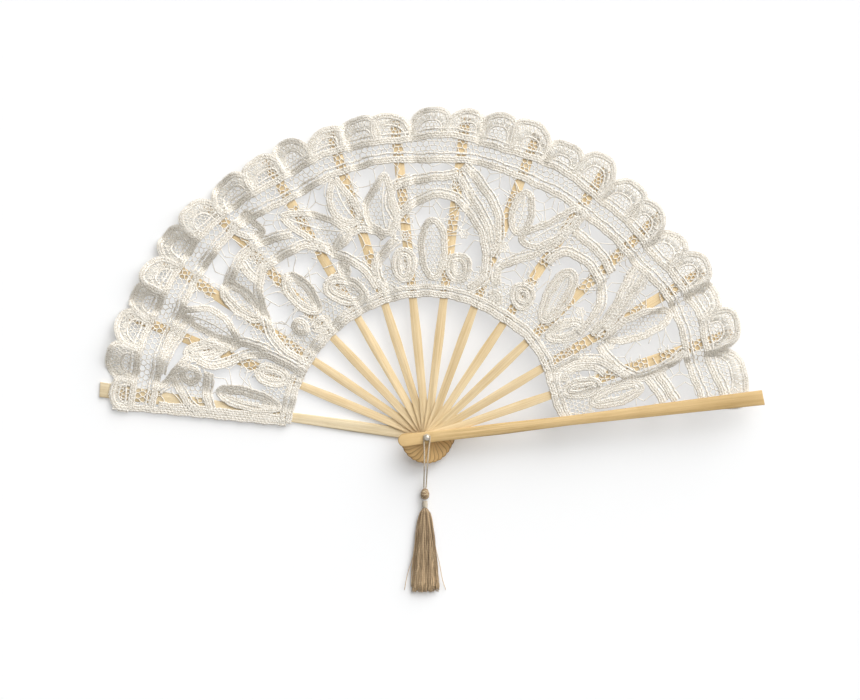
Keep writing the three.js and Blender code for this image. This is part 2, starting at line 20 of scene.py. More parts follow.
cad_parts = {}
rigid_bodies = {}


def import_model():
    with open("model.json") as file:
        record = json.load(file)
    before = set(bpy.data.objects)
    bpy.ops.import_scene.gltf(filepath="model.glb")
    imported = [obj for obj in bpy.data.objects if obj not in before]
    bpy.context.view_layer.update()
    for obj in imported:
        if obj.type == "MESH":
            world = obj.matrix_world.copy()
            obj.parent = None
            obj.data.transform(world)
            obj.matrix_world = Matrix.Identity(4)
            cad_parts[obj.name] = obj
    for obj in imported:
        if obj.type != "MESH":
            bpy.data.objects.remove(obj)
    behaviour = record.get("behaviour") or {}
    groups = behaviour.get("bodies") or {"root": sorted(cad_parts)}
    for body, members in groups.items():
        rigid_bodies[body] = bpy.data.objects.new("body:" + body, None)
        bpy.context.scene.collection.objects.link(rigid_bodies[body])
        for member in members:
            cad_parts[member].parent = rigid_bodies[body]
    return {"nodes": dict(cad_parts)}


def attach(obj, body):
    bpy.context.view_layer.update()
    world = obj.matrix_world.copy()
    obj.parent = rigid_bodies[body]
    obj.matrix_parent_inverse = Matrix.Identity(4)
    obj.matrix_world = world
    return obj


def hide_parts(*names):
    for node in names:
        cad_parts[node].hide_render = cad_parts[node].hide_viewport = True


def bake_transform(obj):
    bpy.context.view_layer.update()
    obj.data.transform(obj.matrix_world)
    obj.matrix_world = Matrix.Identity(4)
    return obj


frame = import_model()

LOG = logging.getLogger("lace_fan")
MM = 0.001

Array = np.ndarray
Piece = bpy.types.Object
Socket = bpy.types.NodeSocket
Node = bpy.types.Node
Tree = bpy.types.NodeTree
Colour = tuple[float, float, float, float]
Point = tuple[float, float, float]
Polar = tuple[float, float]
Pixel = tuple[float, float]
Pair = tuple[float, float]
Range = tuple[float, float]

WHITE: Colour = (1.0, 1.0, 1.0, 1.0)
SMOOTH_ANGLE = math.radians(40)
TINY = 1e-9
STEEP = 0.9
PLAIN_SHADE = 0.5


def srgb(red: int, green: int, blue: int) -> Colour:
    """Turns a colour as it is seen, 0 to 255, into the linear one that a shader takes.

    Args:
        red: The red share, 0 to 255.
        green: The green share, 0 to 255.
        blue: The blue share, 0 to 255.

    Returns:
        The linear colour with full opacity.
    """

    def linear(value: int) -> float:
        """Undoes the display curve for one channel."""
        share = value / 255
        return share / 12.92 if share <= 0.04045 else ((share + 0.055) / 1.055) ** 2.4

    return linear(red), linear(green), linear(blue), 1.0


# Where the parts of the fan lie


@dataclass(frozen=True)
class FanLayout:
    """The places of the ribs and of the pleated leaf, as in the CAD part, in mm and degrees."""

    rib_angles: tuple[float, ...] = (
        171.8, 157.8, 146.1, 133.4, 120.2, 107.6, 95.8, 83.1, 70, 56.2, 43.6, 31, 18.9, 6.8,
    )
    guard_thickness: float = 1.8
    stick_thickness: float = 0.8
    layer_gap: float = 0.15
    leaf_lift: float = 0.3
    leaf_thickness: float = 0.6
    base_radius: float = 88
    rim_radius: float = 209.5
    flat_share: float = 0.14
    valley_share: float = 0.24
    ridge_share: float = 0.58
    fold_at_sides: float = 8
    fold_in_middle: float = 4.5
    fold_at_base: float = 1
    middle_angle: float = 90
    side_reach: float = 80
    valley_part: float = 0.65
    table_clearance: float = 0.2
    stitch_room: float = 0.2
    pleat_limit: float = 13.8
    turn_half_width: float = 7.5
    crumple: float = 0.45
    crumple_lengths: tuple[float, float, float] = (17, 11, 8)

    @property
    def gap_count(self) -> int:
        """How many openings lie between the ribs."""
        return len(self.rib_angles) - 1

    @property
    def pitch(self) -> float:
        """How far each stick lies above the one before it."""
        return self.stick_thickness + self.layer_gap

    @property
    def front_guard_bottom(self) -> float:
        """The height of the front guard's lower face."""
        return self.guard_thickness + self.layer_gap + self.pitch * (self.gap_count - 1)

    @property
    def stack_top(self) -> float:
        """The height of the front guard's upper face."""
        return self.front_guard_bottom + self.guard_thickness

    def body(self, rib: int) -> str:
        """The name of the CAD body that the rib belongs to."""
        if rib == 0:
            return "base"
        return "front_rib" if rib == self.gap_count else f"rib_{rib:02d}"

    def node(self, rib: int) -> str:
        """The name of the rib's CAD node."""
        return {0: "rear_guard", self.gap_count: "front_guard"}.get(rib, f"stick_{rib:02d}")

    def level(self, rib: int) -> float:
        """The height of the leaf's lower face where it is glued to the rib."""
        if rib == self.gap_count:
            room = self.leaf_lift + self.leaf_thickness + self.stitch_room
            return self.front_guard_bottom - room
        return self.guard_thickness + self.pitch * rib + self.leaf_lift

    def pleat(self, gap: int) -> tuple[float, float]:
        """How far the pleat drops to its valley and rises to its ridge at the rim.

        No ridge rises above the front guard's face, which closes over it.

        Args:
            gap: The number of the opening, counted from the rear guard.

        Returns:
            The valley's depth and the ridge's height, in mm.
        """
        middle = (self.rib_angles[gap] + self.rib_angles[gap + 1]) / 2
        aside = min(abs(middle - self.middle_angle) / self.side_reach, 1)
        fold = self.fold_in_middle + (self.fold_at_sides - self.fold_in_middle) * aside
        deepest = self.level(gap) - self.table_clearance
        valley = min(fold * self.valley_part, deepest)
        if gap == self.gap_count - 1:
            return valley, 0
        ridge = min(fold - valley, self.pleat_limit - self.level(gap + 1))
        return min(fold - ridge, deepest), ridge

    def gap_at(self, angles: Array) -> Array:
        """The number of the opening that each angle lies in."""
        ribs = -np.array(self.rib_angles)
        found = np.searchsorted(ribs, -angles, side="right") - 1
        return np.clip(found, 0, self.gap_count - 1)

    def height(self, points: Array) -> Array:
        """The height of the pleated leaf's lower face.

        Args:
            points: Places seen from above, one row of x and y each, in mm.

        Returns:
            One height for each row, in mm.
        """
        angles = np.degrees(np.arctan2(points[:, 1], points[:, 0]))
        radii = np.hypot(points[:, 0], points[:, 1])
        gaps = self.gap_at(angles)
        ribs = np.array(self.rib_angles)
        share = (ribs[gaps] - angles) / (ribs[gaps] - ribs[gaps + 1])
        outward = (radii - self.base_radius) / (self.rim_radius - self.base_radius)
        small = self.fold_at_base / self.fold_at_sides
        growth = small + (1 - small) * outward
        levels = np.array([self.level(rib) for rib in range(self.gap_count + 1)])
        pleats = np.array([self.pleat(gap) for gap in range(self.gap_count)])
        rise = levels[gaps + 1] - levels[gaps]
        valley = -pleats[gaps, 0] * growth
        ridge = rise + pleats[gaps, 1] * growth
        down = self.eased(share, self.flat_share, self.valley_share)
        up = self.eased(share, self.valley_share, self.ridge_share)
        over = self.eased(share, self.ridge_share, 1)
        pleated = levels[gaps] + valley * down + (ridge - valley) * up + (rise - ridge) * over
        between = np.clip(share, 0, 1)
        free = 4 * between * (1 - between) * growth
        return pleated + self.crumple * free * self.waves(points)

    def waves(self, points: Array) -> Array:
        """The small waves that washing and folding leave in the cloth, from -1 to 1.

        Args:
            points: Places seen from above, one row of x and y each, in mm.

        Returns:
            One value for each row.
        """
        x, y = points[:, 0], points[:, 1]
        long, middle, short = (math.tau / length for length in self.crumple_lengths)
        # Each wave bends the next smaller one, so that none of them repeats
        first = np.sin(long * (x + 0.4 * y)) * np.sin(long * (y - 0.3 * x) + 1)
        second = np.sin(middle * (0.8 * x - y) + 2 * first)
        third = np.sin(short * (x + 1.1 * y) + 3 * second)
        return 0.5 * first + 0.3 * second + 0.2 * third

    @staticmethod
    def eased(share: Array, start: float, end: float) -> Array:
        """A soft step from 0 to 1, because cloth bends round where a plan has a crease.

        Args:
            share: Where each place lies in its opening, 0 to 1.
            start: Where the step begins.
            end: Where it ends.

        Returns:
            The step's height at each place, halfway between a straight and a round one.
        """
        straight = np.clip((share - start) / (end - start), 0, 1)
        round_step = straight * straight * (3 - 2 * straight)
        return (straight + 2 * round_step) / 3


LAYOUT = FanLayout()


def plane_point(angle: float, radius: float) -> tuple[float, float]:
    """The place seen from above of a point given round the pivot, in mm."""
    turn = math.radians(angle)
    return radius * math.cos(turn), radius * math.sin(turn)


# Finishes


class NodePen:
    """Adds and joins shader nodes in one tree."""

    def __init__(self, tree: Tree) -> None:
        """Starts on a material's, world's or group's tree."""
        self.tree = tree

    def add(self, kind: str, **settings: object) -> Node:
        """Adds a node and sets its options.

        Args:
            kind: The node's Blender type name.
            **settings: Options of the node, such as its operation.

        Returns:
            The new node.
        """
        node = self.tree.nodes.new(kind)
        for name, value in settings.items():
            setattr(node, name, value)
        return node

    def feed(self, socket: Socket, value: object) -> None:
        """Joins another node's output to a socket, or sets the socket's own value.

        Args:
            socket: The input to fill.
            value: An output socket, a number, or a colour or vector.
        """
        if isinstance(value, Socket):
            self.tree.links.new(value, socket)
        else:
            socket.default_value = value

    def math(self, operation: str, first: object, second: object = 0.0) -> Socket:
        """Adds a sum of two values, or another operation on them.

        Args:
            operation: The operation's Blender name.
            first: The first value or output.
            second: The second value or output.

        Returns:
            The result's output.
        """
        node = self.add("ShaderNodeMath", operation=operation)
        self.feed(node.inputs[0], first)
        self.feed(node.inputs[1], second)
        return node.outputs[0]

    def stretch(self, vector: object, scale: object) -> Socket:
        """Scales a vector along its three axes.

        Args:
            vector: The vector's output.
            scale: The scale along each axis, or an output that gives it.

        Returns:
            The scaled vector's output.
        """
        node = self.add("ShaderNodeVectorMath", operation="MULTIPLY")
        self.feed(node.inputs[0], vector)
        self.feed(node.inputs[1], scale)
        return node.outputs[0]

    def split(self, vector: object) -> tuple[Socket, Socket]:
        """Takes a vector apart.

        Args:
            vector: The vector's output.

        Returns:
            The outputs of its first and second parts.
        """
        parts = self.add("ShaderNodeSeparateXYZ")
        self.feed(parts.inputs[0], vector)
        return parts.outputs[0], parts.outputs[1]

    def place(self) -> Socket:
        """The place of each point in its object's own space."""
        return self.add("ShaderNodeTexCoord").outputs["Object"]

    def stored(self, name: str, output: str = "Vector") -> Socket:
        """What the mesh stores at each point under a name."""
        return self.add("ShaderNodeAttribute", attribute_name=name).outputs[output]

    def chart(self) -> tuple[Socket, Socket]:
        """Where each point lies across and along its strand."""
        return self.split(self.add("ShaderNodeUVMap", uv_map="chart").outputs[0])

    def times(self, first: object, second: object) -> Socket:
        """Multiplies two values."""
        return self.math("MULTIPLY", first, second)

    def plus(self, first: object, second: object) -> Socket:
        """Adds two values."""
        return self.math("ADD", first, second)

    def span(
        self, value: object, low: float, high: float, start: float = 0, end: float = 1
    ) -> Socket:
        """Spreads the values between two limits over a new range.

        Args:
            value: The value's output.
            low: The value that becomes start.
            high: The value that becomes end.
            start: The new range's beginning.
            end: The new range's end.

        Returns:
            The spread value's output.
        """
        node = self.add("ShaderNodeMapRange")
        for socket, content in zip(node.inputs, (value, low, high, start, end)):
            self.feed(socket, content)
        return node.outputs[0]

    def blend(self, share: object, first: object, second: object) -> Socket:
        """Mixes two colours.

        Args:
            share: How much of the second colour, 0 to 1.
            first: The first colour or output.
            second: The second colour or output.

        Returns:
            The mixed colour's output.
        """
        node = self.add("ShaderNodeMix", data_type="RGBA")
        self.feed(node.inputs[0], share)
        self.feed(node.inputs[6], first)
        self.feed(node.inputs[7], second)
        return node.outputs[2]


class SharedEffects:
    """The shader groups that several finishes use, each built once."""

    def __init__(self) -> None:
        """Starts with no group built."""
        self.trees: dict[str, Tree] = {}

    def start(self, name: str, inputs: dict[str, object]) -> tuple[NodePen, Node]:
        """Opens a new group with its named inputs.

        Args:
            name: The group's name.
            inputs: Each input's name and its value, a vector's being None.

        Returns:
            The pen for the group and the node that holds its inputs.
        """
        tree = bpy.data.node_groups.new(name, "ShaderNodeTree")
        for label, value in inputs.items():
            kind = "NodeSocketVector" if value is None else "NodeSocketFloat"
            socket = tree.interface.new_socket(label, in_out="INPUT", socket_type=kind)
            if value is not None:
                socket.default_value = value
        self.trees[name] = tree
        pen = NodePen(tree)
        return pen, pen.add("NodeGroupInput")

    def close(self, pen: NodePen, outputs: dict[str, Socket]) -> None:
        """Ends a group by naming what it puts out.

        Args:
            pen: The group's pen.
            outputs: Each output's name and the socket that gives it.
        """
        for label in outputs:
            pen.tree.interface.new_socket(label, in_out="OUTPUT", socket_type="NodeSocketFloat")
        end = pen.add("NodeGroupOutput")
        for label, socket in outputs.items():
            pen.feed(end.inputs[label], socket)

    def grain(self) -> Tree:
        """Long fibres: the pattern is drawn out along the vector's first axis."""
        if "long_grain" not in self.trees:
            pen, given = self.start("long_grain", {"Vector": None, "Along": 0.03, "Across": 1.6})
            shape = pen.add("ShaderNodeCombineXYZ")
            for socket, label in zip(shape.inputs, ("Along", "Across", "Across")):
                pen.feed(socket, given.outputs[label])
            drawn = pen.stretch(given.outputs["Vector"], shape.outputs[0])
            streaks = pen.add("ShaderNodeTexNoise")
            pen.feed(streaks.inputs["Vector"], drawn)
            pen.feed(streaks.inputs["Scale"], 1.0)
            pen.feed(streaks.inputs["Detail"], 5.0)
            pen.feed(streaks.inputs["Roughness"], 0.62)
            self.close(pen, {"Streaks": pen.span(streaks.outputs[0], 0.34, 0.66)})
        return self.trees["long_grain"]

    def twist(self) -> Tree:
        """The slanting turns of a twisted thread, from its own around and along values."""
        if "thread_twist" not in self.trees:
            pen, given = self.start("thread_twist", {"Around": 0, "Along": 0, "Pitch": 1.0})
            turns = pen.math("DIVIDE", given.outputs["Along"], given.outputs["Pitch"])
            phase = pen.plus(turns, given.outputs["Around"])
            wave = pen.math("SINE", pen.times(phase, math.tau))
            self.close(pen, {"Ply": pen.span(wave, -1, 1)})
        return self.trees["thread_twist"]

    def cloud(self) -> Tree:
        """Soft uneven patches, as of handling and age."""
        if "soft_cloud" not in self.trees:
            pen, given = self.start("soft_cloud", {"Vector": None, "Scale": 40.0})
            noise = pen.add("ShaderNodeTexNoise")
            pen.feed(noise.inputs["Vector"], given.outputs["Vector"])
            pen.feed(noise.inputs["Scale"], given.outputs["Scale"])
            pen.feed(noise.inputs["Detail"], 3.0)
            self.close(pen, {"Patches": pen.span(noise.outputs[0], 0.3, 0.7)})
        return self.trees["soft_cloud"]

    def place(self, pen: NodePen, tree: Tree, **values: object) -> Socket:
        """Puts a shared group into a material.

        Args:
            pen: The material's pen.
            tree: The group to place.
            **values: What its inputs get, with their names in lower case.

        Returns:
            The group's output.
        """
        node = pen.add("ShaderNodeGroup", node_tree=tree)
        for name, value in values.items():
            pen.feed(node.inputs[name.capitalize()], value)
        return node.outputs[0]


EFFECTS = SharedEffects()


class Finish:
    """A material with its Principled surface ready for its own pattern."""

    name: str

    def material(self) -> bpy.types.Material:
        """The Blender material, made the first time that it is asked for."""
        found = bpy.data.materials.get(self.name)
        if found is not None:
            return found
        made = bpy.data.materials.new(self.name)
        made.use_nodes = True
        pen = NodePen(made.node_tree)
        surface = made.node_tree.nodes["Principled BSDF"]
        self.paint(pen, surface)
        return made

    def paint(self, pen: NodePen, surface: Node) -> None:
        """Draws the pattern and sets the material's Principled surface."""
        raise NotImplementedError

    @staticmethod
    def emboss(pen: NodePen, surface: Node, height: object, depth: float) -> None:
        """Raises the surface's normal by a height pattern.

        Args:
            pen: The material's pen.
            surface: Its Principled BSDF.
            height: The pattern, 0 to 1.
            depth: The relief in mm.
        """
        bump = pen.add("ShaderNodeBump")
        pen.feed(bump.inputs["Strength"], 1.0)
        pen.feed(bump.inputs["Distance"], depth * MM)
        pen.feed(bump.inputs["Height"], height)
        pen.feed(surface.inputs["Normal"], bump.outputs[0])


@dataclass(frozen=True)
class BambooFinish(Finish):
    """Split bamboo, sanded and waxed, with its fibres along each rib."""

    name: str
    light: Colour
    dark: Colour
    roughness: float = 0.55
    tip_shade: float = 0.0
    head_radius: float = 3.8
    head_reach: float = 16.8
    # Painted shade on the round head and its rim, where the stacked heads shade it
    head_shade_colour: Colour = srgb(210, 168, 104)
    rim: Colour = srgb(132, 98, 56)
    head_shade_along: Range = (2, -5)
    head_shade_share: float = 0.7
    rim_depth: Range = (0.85, 0.05)
    rim_share: float = 0.85
    tip_along: Range = (60, 200)
    broad_fibres: Range = (0.02, 0.9)
    fine_fibres: Range = (0.07, 4.5)
    patch_scale: float = 0.045
    pore_sharpness: float = 2.2
    broad_share: float = 0.55
    pore_share: float = 0.3
    patch_share: float = 0.25
    smoother: float = 0.08
    rougher: float = 0.1
    gloss: float = 0.25
    relief: float = 0.05

    def painted_head_shade(self, pen: NodePen, colour: object, place: object) -> object:
        """Paints shade on the round head where stacked heads shade it, darkest round its rim.

        Args:
            pen: The material's pen.
            colour: The bamboo's colour.
            place: How far each point lies along and across the rib, in mm.

        Returns:
            The colour with the painted shade on the head and the darker tip.
        """
        along, across = pen.split(place)
        centre = self.head_radius - self.head_reach
        behind = pen.math("MINIMUM", pen.math("SUBTRACT", along, centre), 0.0)
        square = pen.plus(pen.math("POWER", behind, 2.0), pen.math("POWER", across, 2.0))
        depth = pen.math("SUBTRACT", self.head_radius, pen.math("SQRT", square))
        near = pen.span(along, *self.head_shade_along)
        colour = pen.blend(pen.times(near, self.head_shade_share), colour, self.head_shade_colour)
        rim = pen.times(pen.span(depth, *self.rim_depth), near)
        # Painted shadow: a dark line round the rim of each head, where the heads overlap
        colour = pen.blend(pen.times(rim, self.rim_share), colour, self.rim)
        tip = pen.times(pen.span(along, *self.tip_along), self.tip_shade)
        return pen.blend(tip, colour, self.dark)

    def fibres(self, pen: NodePen, grain: object, size: Range) -> Socket:
        """Draws one kind of fibre.

        Args:
            pen: The material's pen.
            grain: The place in the wood.
            size: The pattern's scale along and across the fibres.

        Returns:
            The pattern's output, 0 to 1.
        """
        along, across = size
        tree = EFFECTS.grain()
        return EFFECTS.place(pen, tree, vector=grain, along=along, across=across)

    def paint(self, pen: NodePen, surface: Node) -> None:
        """Long pale and darker fibres, with finer pores pressed into them."""
        grain = pen.stored("grain")
        broad = self.fibres(pen, grain, self.broad_fibres)
        fine = self.fibres(pen, grain, self.fine_fibres)
        cloud = EFFECTS.place(pen, EFFECTS.cloud(), vector=grain, scale=self.patch_scale)
        pores = pen.math("POWER", fine, self.pore_sharpness)
        share = pen.plus(pen.times(broad, self.broad_share), pen.times(pores, self.pore_share))
        share = pen.plus(share, pen.times(cloud, self.patch_share))
        colour = pen.blend(share, self.light, self.dark)
        colour = self.painted_head_shade(pen, colour, pen.stored("rib_place"))
        pen.feed(surface.inputs["Base Color"], colour)
        smooth, rough = self.roughness - self.smoother, self.roughness + self.rougher
        pen.feed(surface.inputs["Roughness"], pen.span(fine, 0, 1, smooth, rough))
        surface.inputs["Specular IOR Level"].default_value = self.gloss
        self.emboss(pen, surface, pen.math("SUBTRACT", 1.0, pores), self.relief)


@dataclass(frozen=True)
class TapeFinish(Finish):
    """Cotton lace tape: bright cords with a looser weave between them."""

    name: str = "lace_tape_cotton"
    cord: Colour = srgb(252, 249, 243)
    # The weave's darker colour is partly its own tone and partly painted shade of the valleys
    # between the cords
    weave: Colour = srgb(236, 229, 216)
    shade: Colour = srgb(188, 175, 153)
    cord_edge: Range = (0.36, 0.3)
    weft_pitch: float = 1.3
    weft_rise: Range = (-0.6, 0.8)
    patch_scale: float = 45.0
    patch_share: float = 0.25
    speck_scale: float = 1100.0
    hole_shade_specks: Range = (0.2, 0.6)
    cord_fleck_range: Range = (0.45, 0.7)
    cord_fleck_share: float = 0.65
    twist_share: float = 0.12
    roughness: float = 0.85
    sheen: float = 0.15
    relief: float = 0.055

    def paint(self, pen: NodePen, surface: Node) -> None:
        """Painted shade in the weave between the cords and its small holes, and a slant twist on
        each cord.
        """
        across, along = pen.chart()
        off = pen.math("ABSOLUTE", pen.math("SUBTRACT", pen.math("FRACT", across), 0.5))
        cord = pen.span(off, *self.cord_edge)
        weft = pen.math("SINE", pen.times(along, math.tau / self.weft_pitch))
        cloth = pen.span(weft, *self.weft_rise)
        twist = EFFECTS.place(
            pen, EFFECTS.twist(), around=across, along=along, pitch=self.weft_pitch
        )
        place = pen.place()
        cloud = EFFECTS.place(pen, EFFECTS.cloud(), vector=place, scale=self.patch_scale)
        speck = EFFECTS.place(pen, EFFECTS.cloud(), vector=place, scale=self.speck_scale)
        # Painted shade: the weave's small holes are dark specks of the shade colour
        painted_hole_shade = pen.times(cloth, pen.span(speck, *self.hole_shade_specks))
        middle = pen.blend(painted_hole_shade, self.weave, self.shade)
        # Dark flecks of the shade colour break up the cords
        cord_flecks = pen.times(pen.span(speck, *self.cord_fleck_range), self.cord_fleck_share)
        cords = pen.plus(pen.times(twist, self.twist_share), cord_flecks)
        cords = pen.blend(cords, self.cord, self.shade)
        colour = pen.blend(cord, middle, cords)
        patch = pen.times(cloud, self.patch_share)
        pen.feed(surface.inputs["Base Color"], pen.blend(patch, colour, self.weave))
        surface.inputs["Roughness"].default_value = self.roughness
        surface.inputs["Sheen Weight"].default_value = self.sheen
        relief = pen.add("ShaderNodeMix", data_type="FLOAT")
        pen.feed(relief.inputs[0], cord)
        pen.feed(relief.inputs[2], cloth)
        pen.feed(relief.inputs[3], twist)
        self.emboss(pen, surface, relief.outputs[0], self.relief)


@dataclass(frozen=True)
class ThreadFinish(Finish):
    """A spun thread or cord, with the slant of its twist and an uneven tone."""

    name: str
    light: Colour
    dark: Colour
    pitch: float = 0.8
    plies: float = 2
    roughness: float = 0.7
    sheen: float = 0.15
    relief: float = 0.06
    twist_share: float = 0.3
    uneven: float = 0.35
    patchy: float = 0.35
    patch_scale: float = 160.0
    painted_light_at_ends: float = 0.0
    painted_light_along: Range = (32, 52)

    def paint(self, pen: NodePen, surface: Node) -> None:
        """Slanting plies, each strand with its own shade."""
        across, along = pen.chart()
        around = pen.times(across, self.plies)
        twist = EFFECTS.place(pen, EFFECTS.twist(), around=around, along=along, pitch=self.pitch)
        cloud = EFFECTS.place(pen, EFFECTS.cloud(), vector=pen.place(), scale=self.patch_scale)
        share = pen.times(twist, self.twist_share)
        share = pen.plus(share, pen.times(cloud, self.patchy))
        share = pen.plus(share, pen.times(pen.stored("shade", "Fac"), self.uneven))
        # Painted light: the threads are paler towards their ends, lifting the shade between the
        # spread ends
        pale = pen.times(pen.span(along, *self.painted_light_along), self.painted_light_at_ends)
        share = pen.math("SUBTRACT", share, pale)
        pen.feed(surface.inputs["Base Color"], pen.blend(share, self.light, self.dark))
        surface.inputs["Roughness"].default_value = self.roughness
        surface.inputs["Sheen Weight"].default_value = self.sheen
        self.emboss(pen, surface, twist, self.relief)


@dataclass(frozen=True)
class SteelFinish(Finish):
    """Bright rolled steel, lightly rubbed."""

    name: str = "rubbed_steel"
    colour: Colour = srgb(186, 180, 168)
    dull: Colour = srgb(128, 118, 104)
    dull_share: float = 0.4
    patch_scale: float = 500.0
    mark_stretch: Point = (1, 1, 6)
    mark_scale: float = 2600.0
    roughness: Range = (0.22, 0.4)
    relief: float = 0.01

    def paint(self, pen: NodePen, surface: Node) -> None:
        """Fine rubbing marks in the gloss and a faint uneven tone."""
        place = pen.place()
        drawn = pen.stretch(place, self.mark_stretch)
        marks = EFFECTS.place(pen, EFFECTS.cloud(), vector=drawn, scale=self.mark_scale)
        cloud = EFFECTS.place(pen, EFFECTS.cloud(), vector=place, scale=self.patch_scale)
        share = pen.times(cloud, self.dull_share)
        pen.feed(surface.inputs["Base Color"], pen.blend(share, self.colour, self.dull))
        surface.inputs["Metallic"].default_value = 1.0
        pen.feed(surface.inputs["Roughness"], pen.span(marks, 0, 1, *self.roughness))
        self.emboss(pen, surface, marks, self.relief)


STICK_BAMBOO = BambooFinish("split_bamboo_sticks", srgb(246, 225, 186), srgb(214, 184, 132))
GUARD_BAMBOO = BambooFinish(
    "split_bamboo_front_guard", srgb(236, 207, 156), srgb(190, 156, 100), 0.5,
    tip_shade=0.4, head_radius=4.25, head_reach=18.4, rim=srgb(190, 152, 96),
    head_shade_colour=srgb(228, 194, 138),
)
REAR_BAMBOO = BambooFinish(
    "split_bamboo_rear_guard", srgb(242, 226, 194), srgb(206, 184, 142),
    head_radius=4.25, head_reach=17.6,
)
LACE_TAPE = TapeFinish()
LACE_THREAD = ThreadFinish(
    "lace_net_thread", srgb(252, 249, 243), srgb(234, 226, 210), pitch=0.7, relief=0.02
)
CORD_THREAD = ThreadFinish(
    "tassel_cord_thread", srgb(214, 204, 186), srgb(158, 140, 112), pitch=1.6, roughness=0.6
)
SKIRT_THREAD = ThreadFinish(
    "skirt_floss", srgb(226, 198, 158), srgb(92, 68, 41), pitch=1.1, roughness=0.55,
    sheen=0.1, uneven=0.75, patchy=0.12, painted_light_at_ends=0.3,
)
KNOT_THREAD = ThreadFinish(
    "knotted_floss", srgb(172, 146, 114), srgb(104, 80, 56), pitch=1.0, roughness=0.6
)
BINDING_THREAD = ThreadFinish(
    "binding_winding", srgb(226, 216, 198), srgb(160, 148, 128), pitch=0.9, roughness=0.45
)
GOLD_THREAD = ThreadFinish(
    "pale_winding", srgb(240, 226, 190), srgb(200, 172, 116), pitch=0.9, roughness=0.35
)


# Modelling helpers


def deselect_all() -> None:
    """Leaves edit mode and selects nothing, because the loaded nodes start selected."""
    if bpy.context.object is not None and bpy.context.object.mode != "OBJECT":
        bpy.ops.object.mode_set(mode="OBJECT")
    bpy.ops.object.select_all(action="DESELECT")


def make_active(piece: Piece) -> None:
    """Selects one piece alone, for the operators that follow."""
    deselect_all()
    piece.select_set(True)
    bpy.context.view_layer.objects.active = piece


def settle(piece: Piece, name: str, finish: Finish) -> Piece:
    """Names a finished piece, gives it its material and puts its place into its mesh.

    Args:
        piece: The piece, wherever it was modelled.
        name: Its name in the scene.
        finish: The finish that it wears.

    Returns:
        The same piece.
    """
    make_active(piece)
    bpy.ops.object.transform_apply(location=True, rotation=True, scale=True)
    piece.name = name
    piece.data.name = name
    piece.data.materials.clear()
    piece.data.materials.append(finish.material())
    return piece


def apply_modifiers(piece: Piece) -> None:
    """Applies every modifier of a piece, in order."""
    make_active(piece)
    for modifier in list(piece.modifiers):
        bpy.ops.object.modifier_apply(modifier=modifier.name)


def joined(pieces: list[Piece]) -> Piece:
    """Joins pieces into the first of them."""
    make_active(pieces[0])
    for piece in pieces[1:]:
        piece.select_set(True)
    bpy.ops.object.join()
    return pieces[0]


def face_out(piece: Piece) -> None:
    """Turns every face of a closed piece outwards."""
    shape = bmesh.new()
    shape.from_mesh(piece.data)
    bmesh.ops.recalc_face_normals(shape, faces=shape.faces)
    shape.to_mesh(piece.data)
    shape.free()


def turned(profile: list[Pair], sides: int = 48) -> Piece:
    """Turns a round piece up the Z axis, ring by ring, as on a lathe.

    Args:
        profile: The radius and height of each ring, in mm, from the lowest up.
        sides: How many sides the rings have.

    Returns:
        The closed piece, with flat ends.
    """
    deselect_all()
    radius, height = profile[0]
    bpy.ops.mesh.primitive_circle_add(
        vertices=sides, radius=radius * MM, fill_type="NGON", location=(0, 0, height * MM)
    )
    piece = bpy.context.object
    bpy.ops.object.mode_set(mode="EDIT")
    bpy.ops.mesh.select_mode(type="FACE")
    bpy.ops.mesh.select_all(action="SELECT")
    for next_radius, next_height in profile[1:]:
        bpy.ops.mesh.extrude_region_move(
            TRANSFORM_OT_translate={"value": (0, 0, (next_height - height) * MM)}
        )
        share = next_radius / radius
        bpy.ops.transform.resize(value=(share, share, 1))
        radius, height = next_radius, next_height
    bpy.ops.mesh.select_all(action="SELECT")
    bpy.ops.mesh.normals_make_consistent(inside=False)
    bpy.ops.object.mode_set(mode="OBJECT")
    bpy.ops.object.shade_smooth_by_angle(angle=SMOOTH_ANGLE)
    return piece


# Swept threads


def corded(cords: int) -> tuple[Pair, ...]:
    """The section of a flat tape with raised cords along it.

    Args:
        cords: How many cords it has.

    Returns:
        A loop of places across the tape and up, an even number of them.
    """
    pitch = 2 / cords
    loop = [(-1, 0.25), (-0.9, 0), (0.9, 0), (1, 0.25)]
    for number in range(cords):
        middle = 1 - pitch * (number + 0.5)
        loop += [(middle + 0.46 * pitch, 0.45), (middle + 0.22 * pitch, 1)]
        loop += [(middle - 0.22 * pitch, 1), (middle - 0.46 * pitch, 0.45)]
    return tuple(loop)


class Section(Enum):
    """The shapes that a swept strand can have, each with its number of cords."""

    TAPE = (corded(3), 3)
    NARROW_TAPE = (corded(2), 2)
    CORD = (((-0.87, 0.25), (0, 0), (0.87, 0.25), (0.87, 0.75), (0, 1), (-0.87, 0.75)), 1)
    THREAD = (((-1, 0.5), (0, 0), (1, 0.5), (0, 1)), 1)

    @property
    def loop(self) -> Array:
        """The section's outline: places across the strand, -1 to 1, and up, 0 to 1."""
        return np.array(self.value[0], float)

    @property
    def cords(self) -> int:
        """How many cords lie side by side."""
        return self.value[1]


@dataclass(frozen=True)
class Strand:
    """A tape, cord or thread: its section, width, thickness and height in the leaf, in mm."""

    section: Section
    width: float
    thickness: float
    lift: float = 0.0


def unit(vectors: Array) -> Array:
    """The same directions, each one long."""
    return vectors / np.maximum(np.linalg.norm(vectors, axis=1, keepdims=True), TINY)


def left_of(along: Array) -> Array:
    """The directions to the left of the given ones, seen from above."""
    return np.column_stack([-along[:, 1], along[:, 0]])


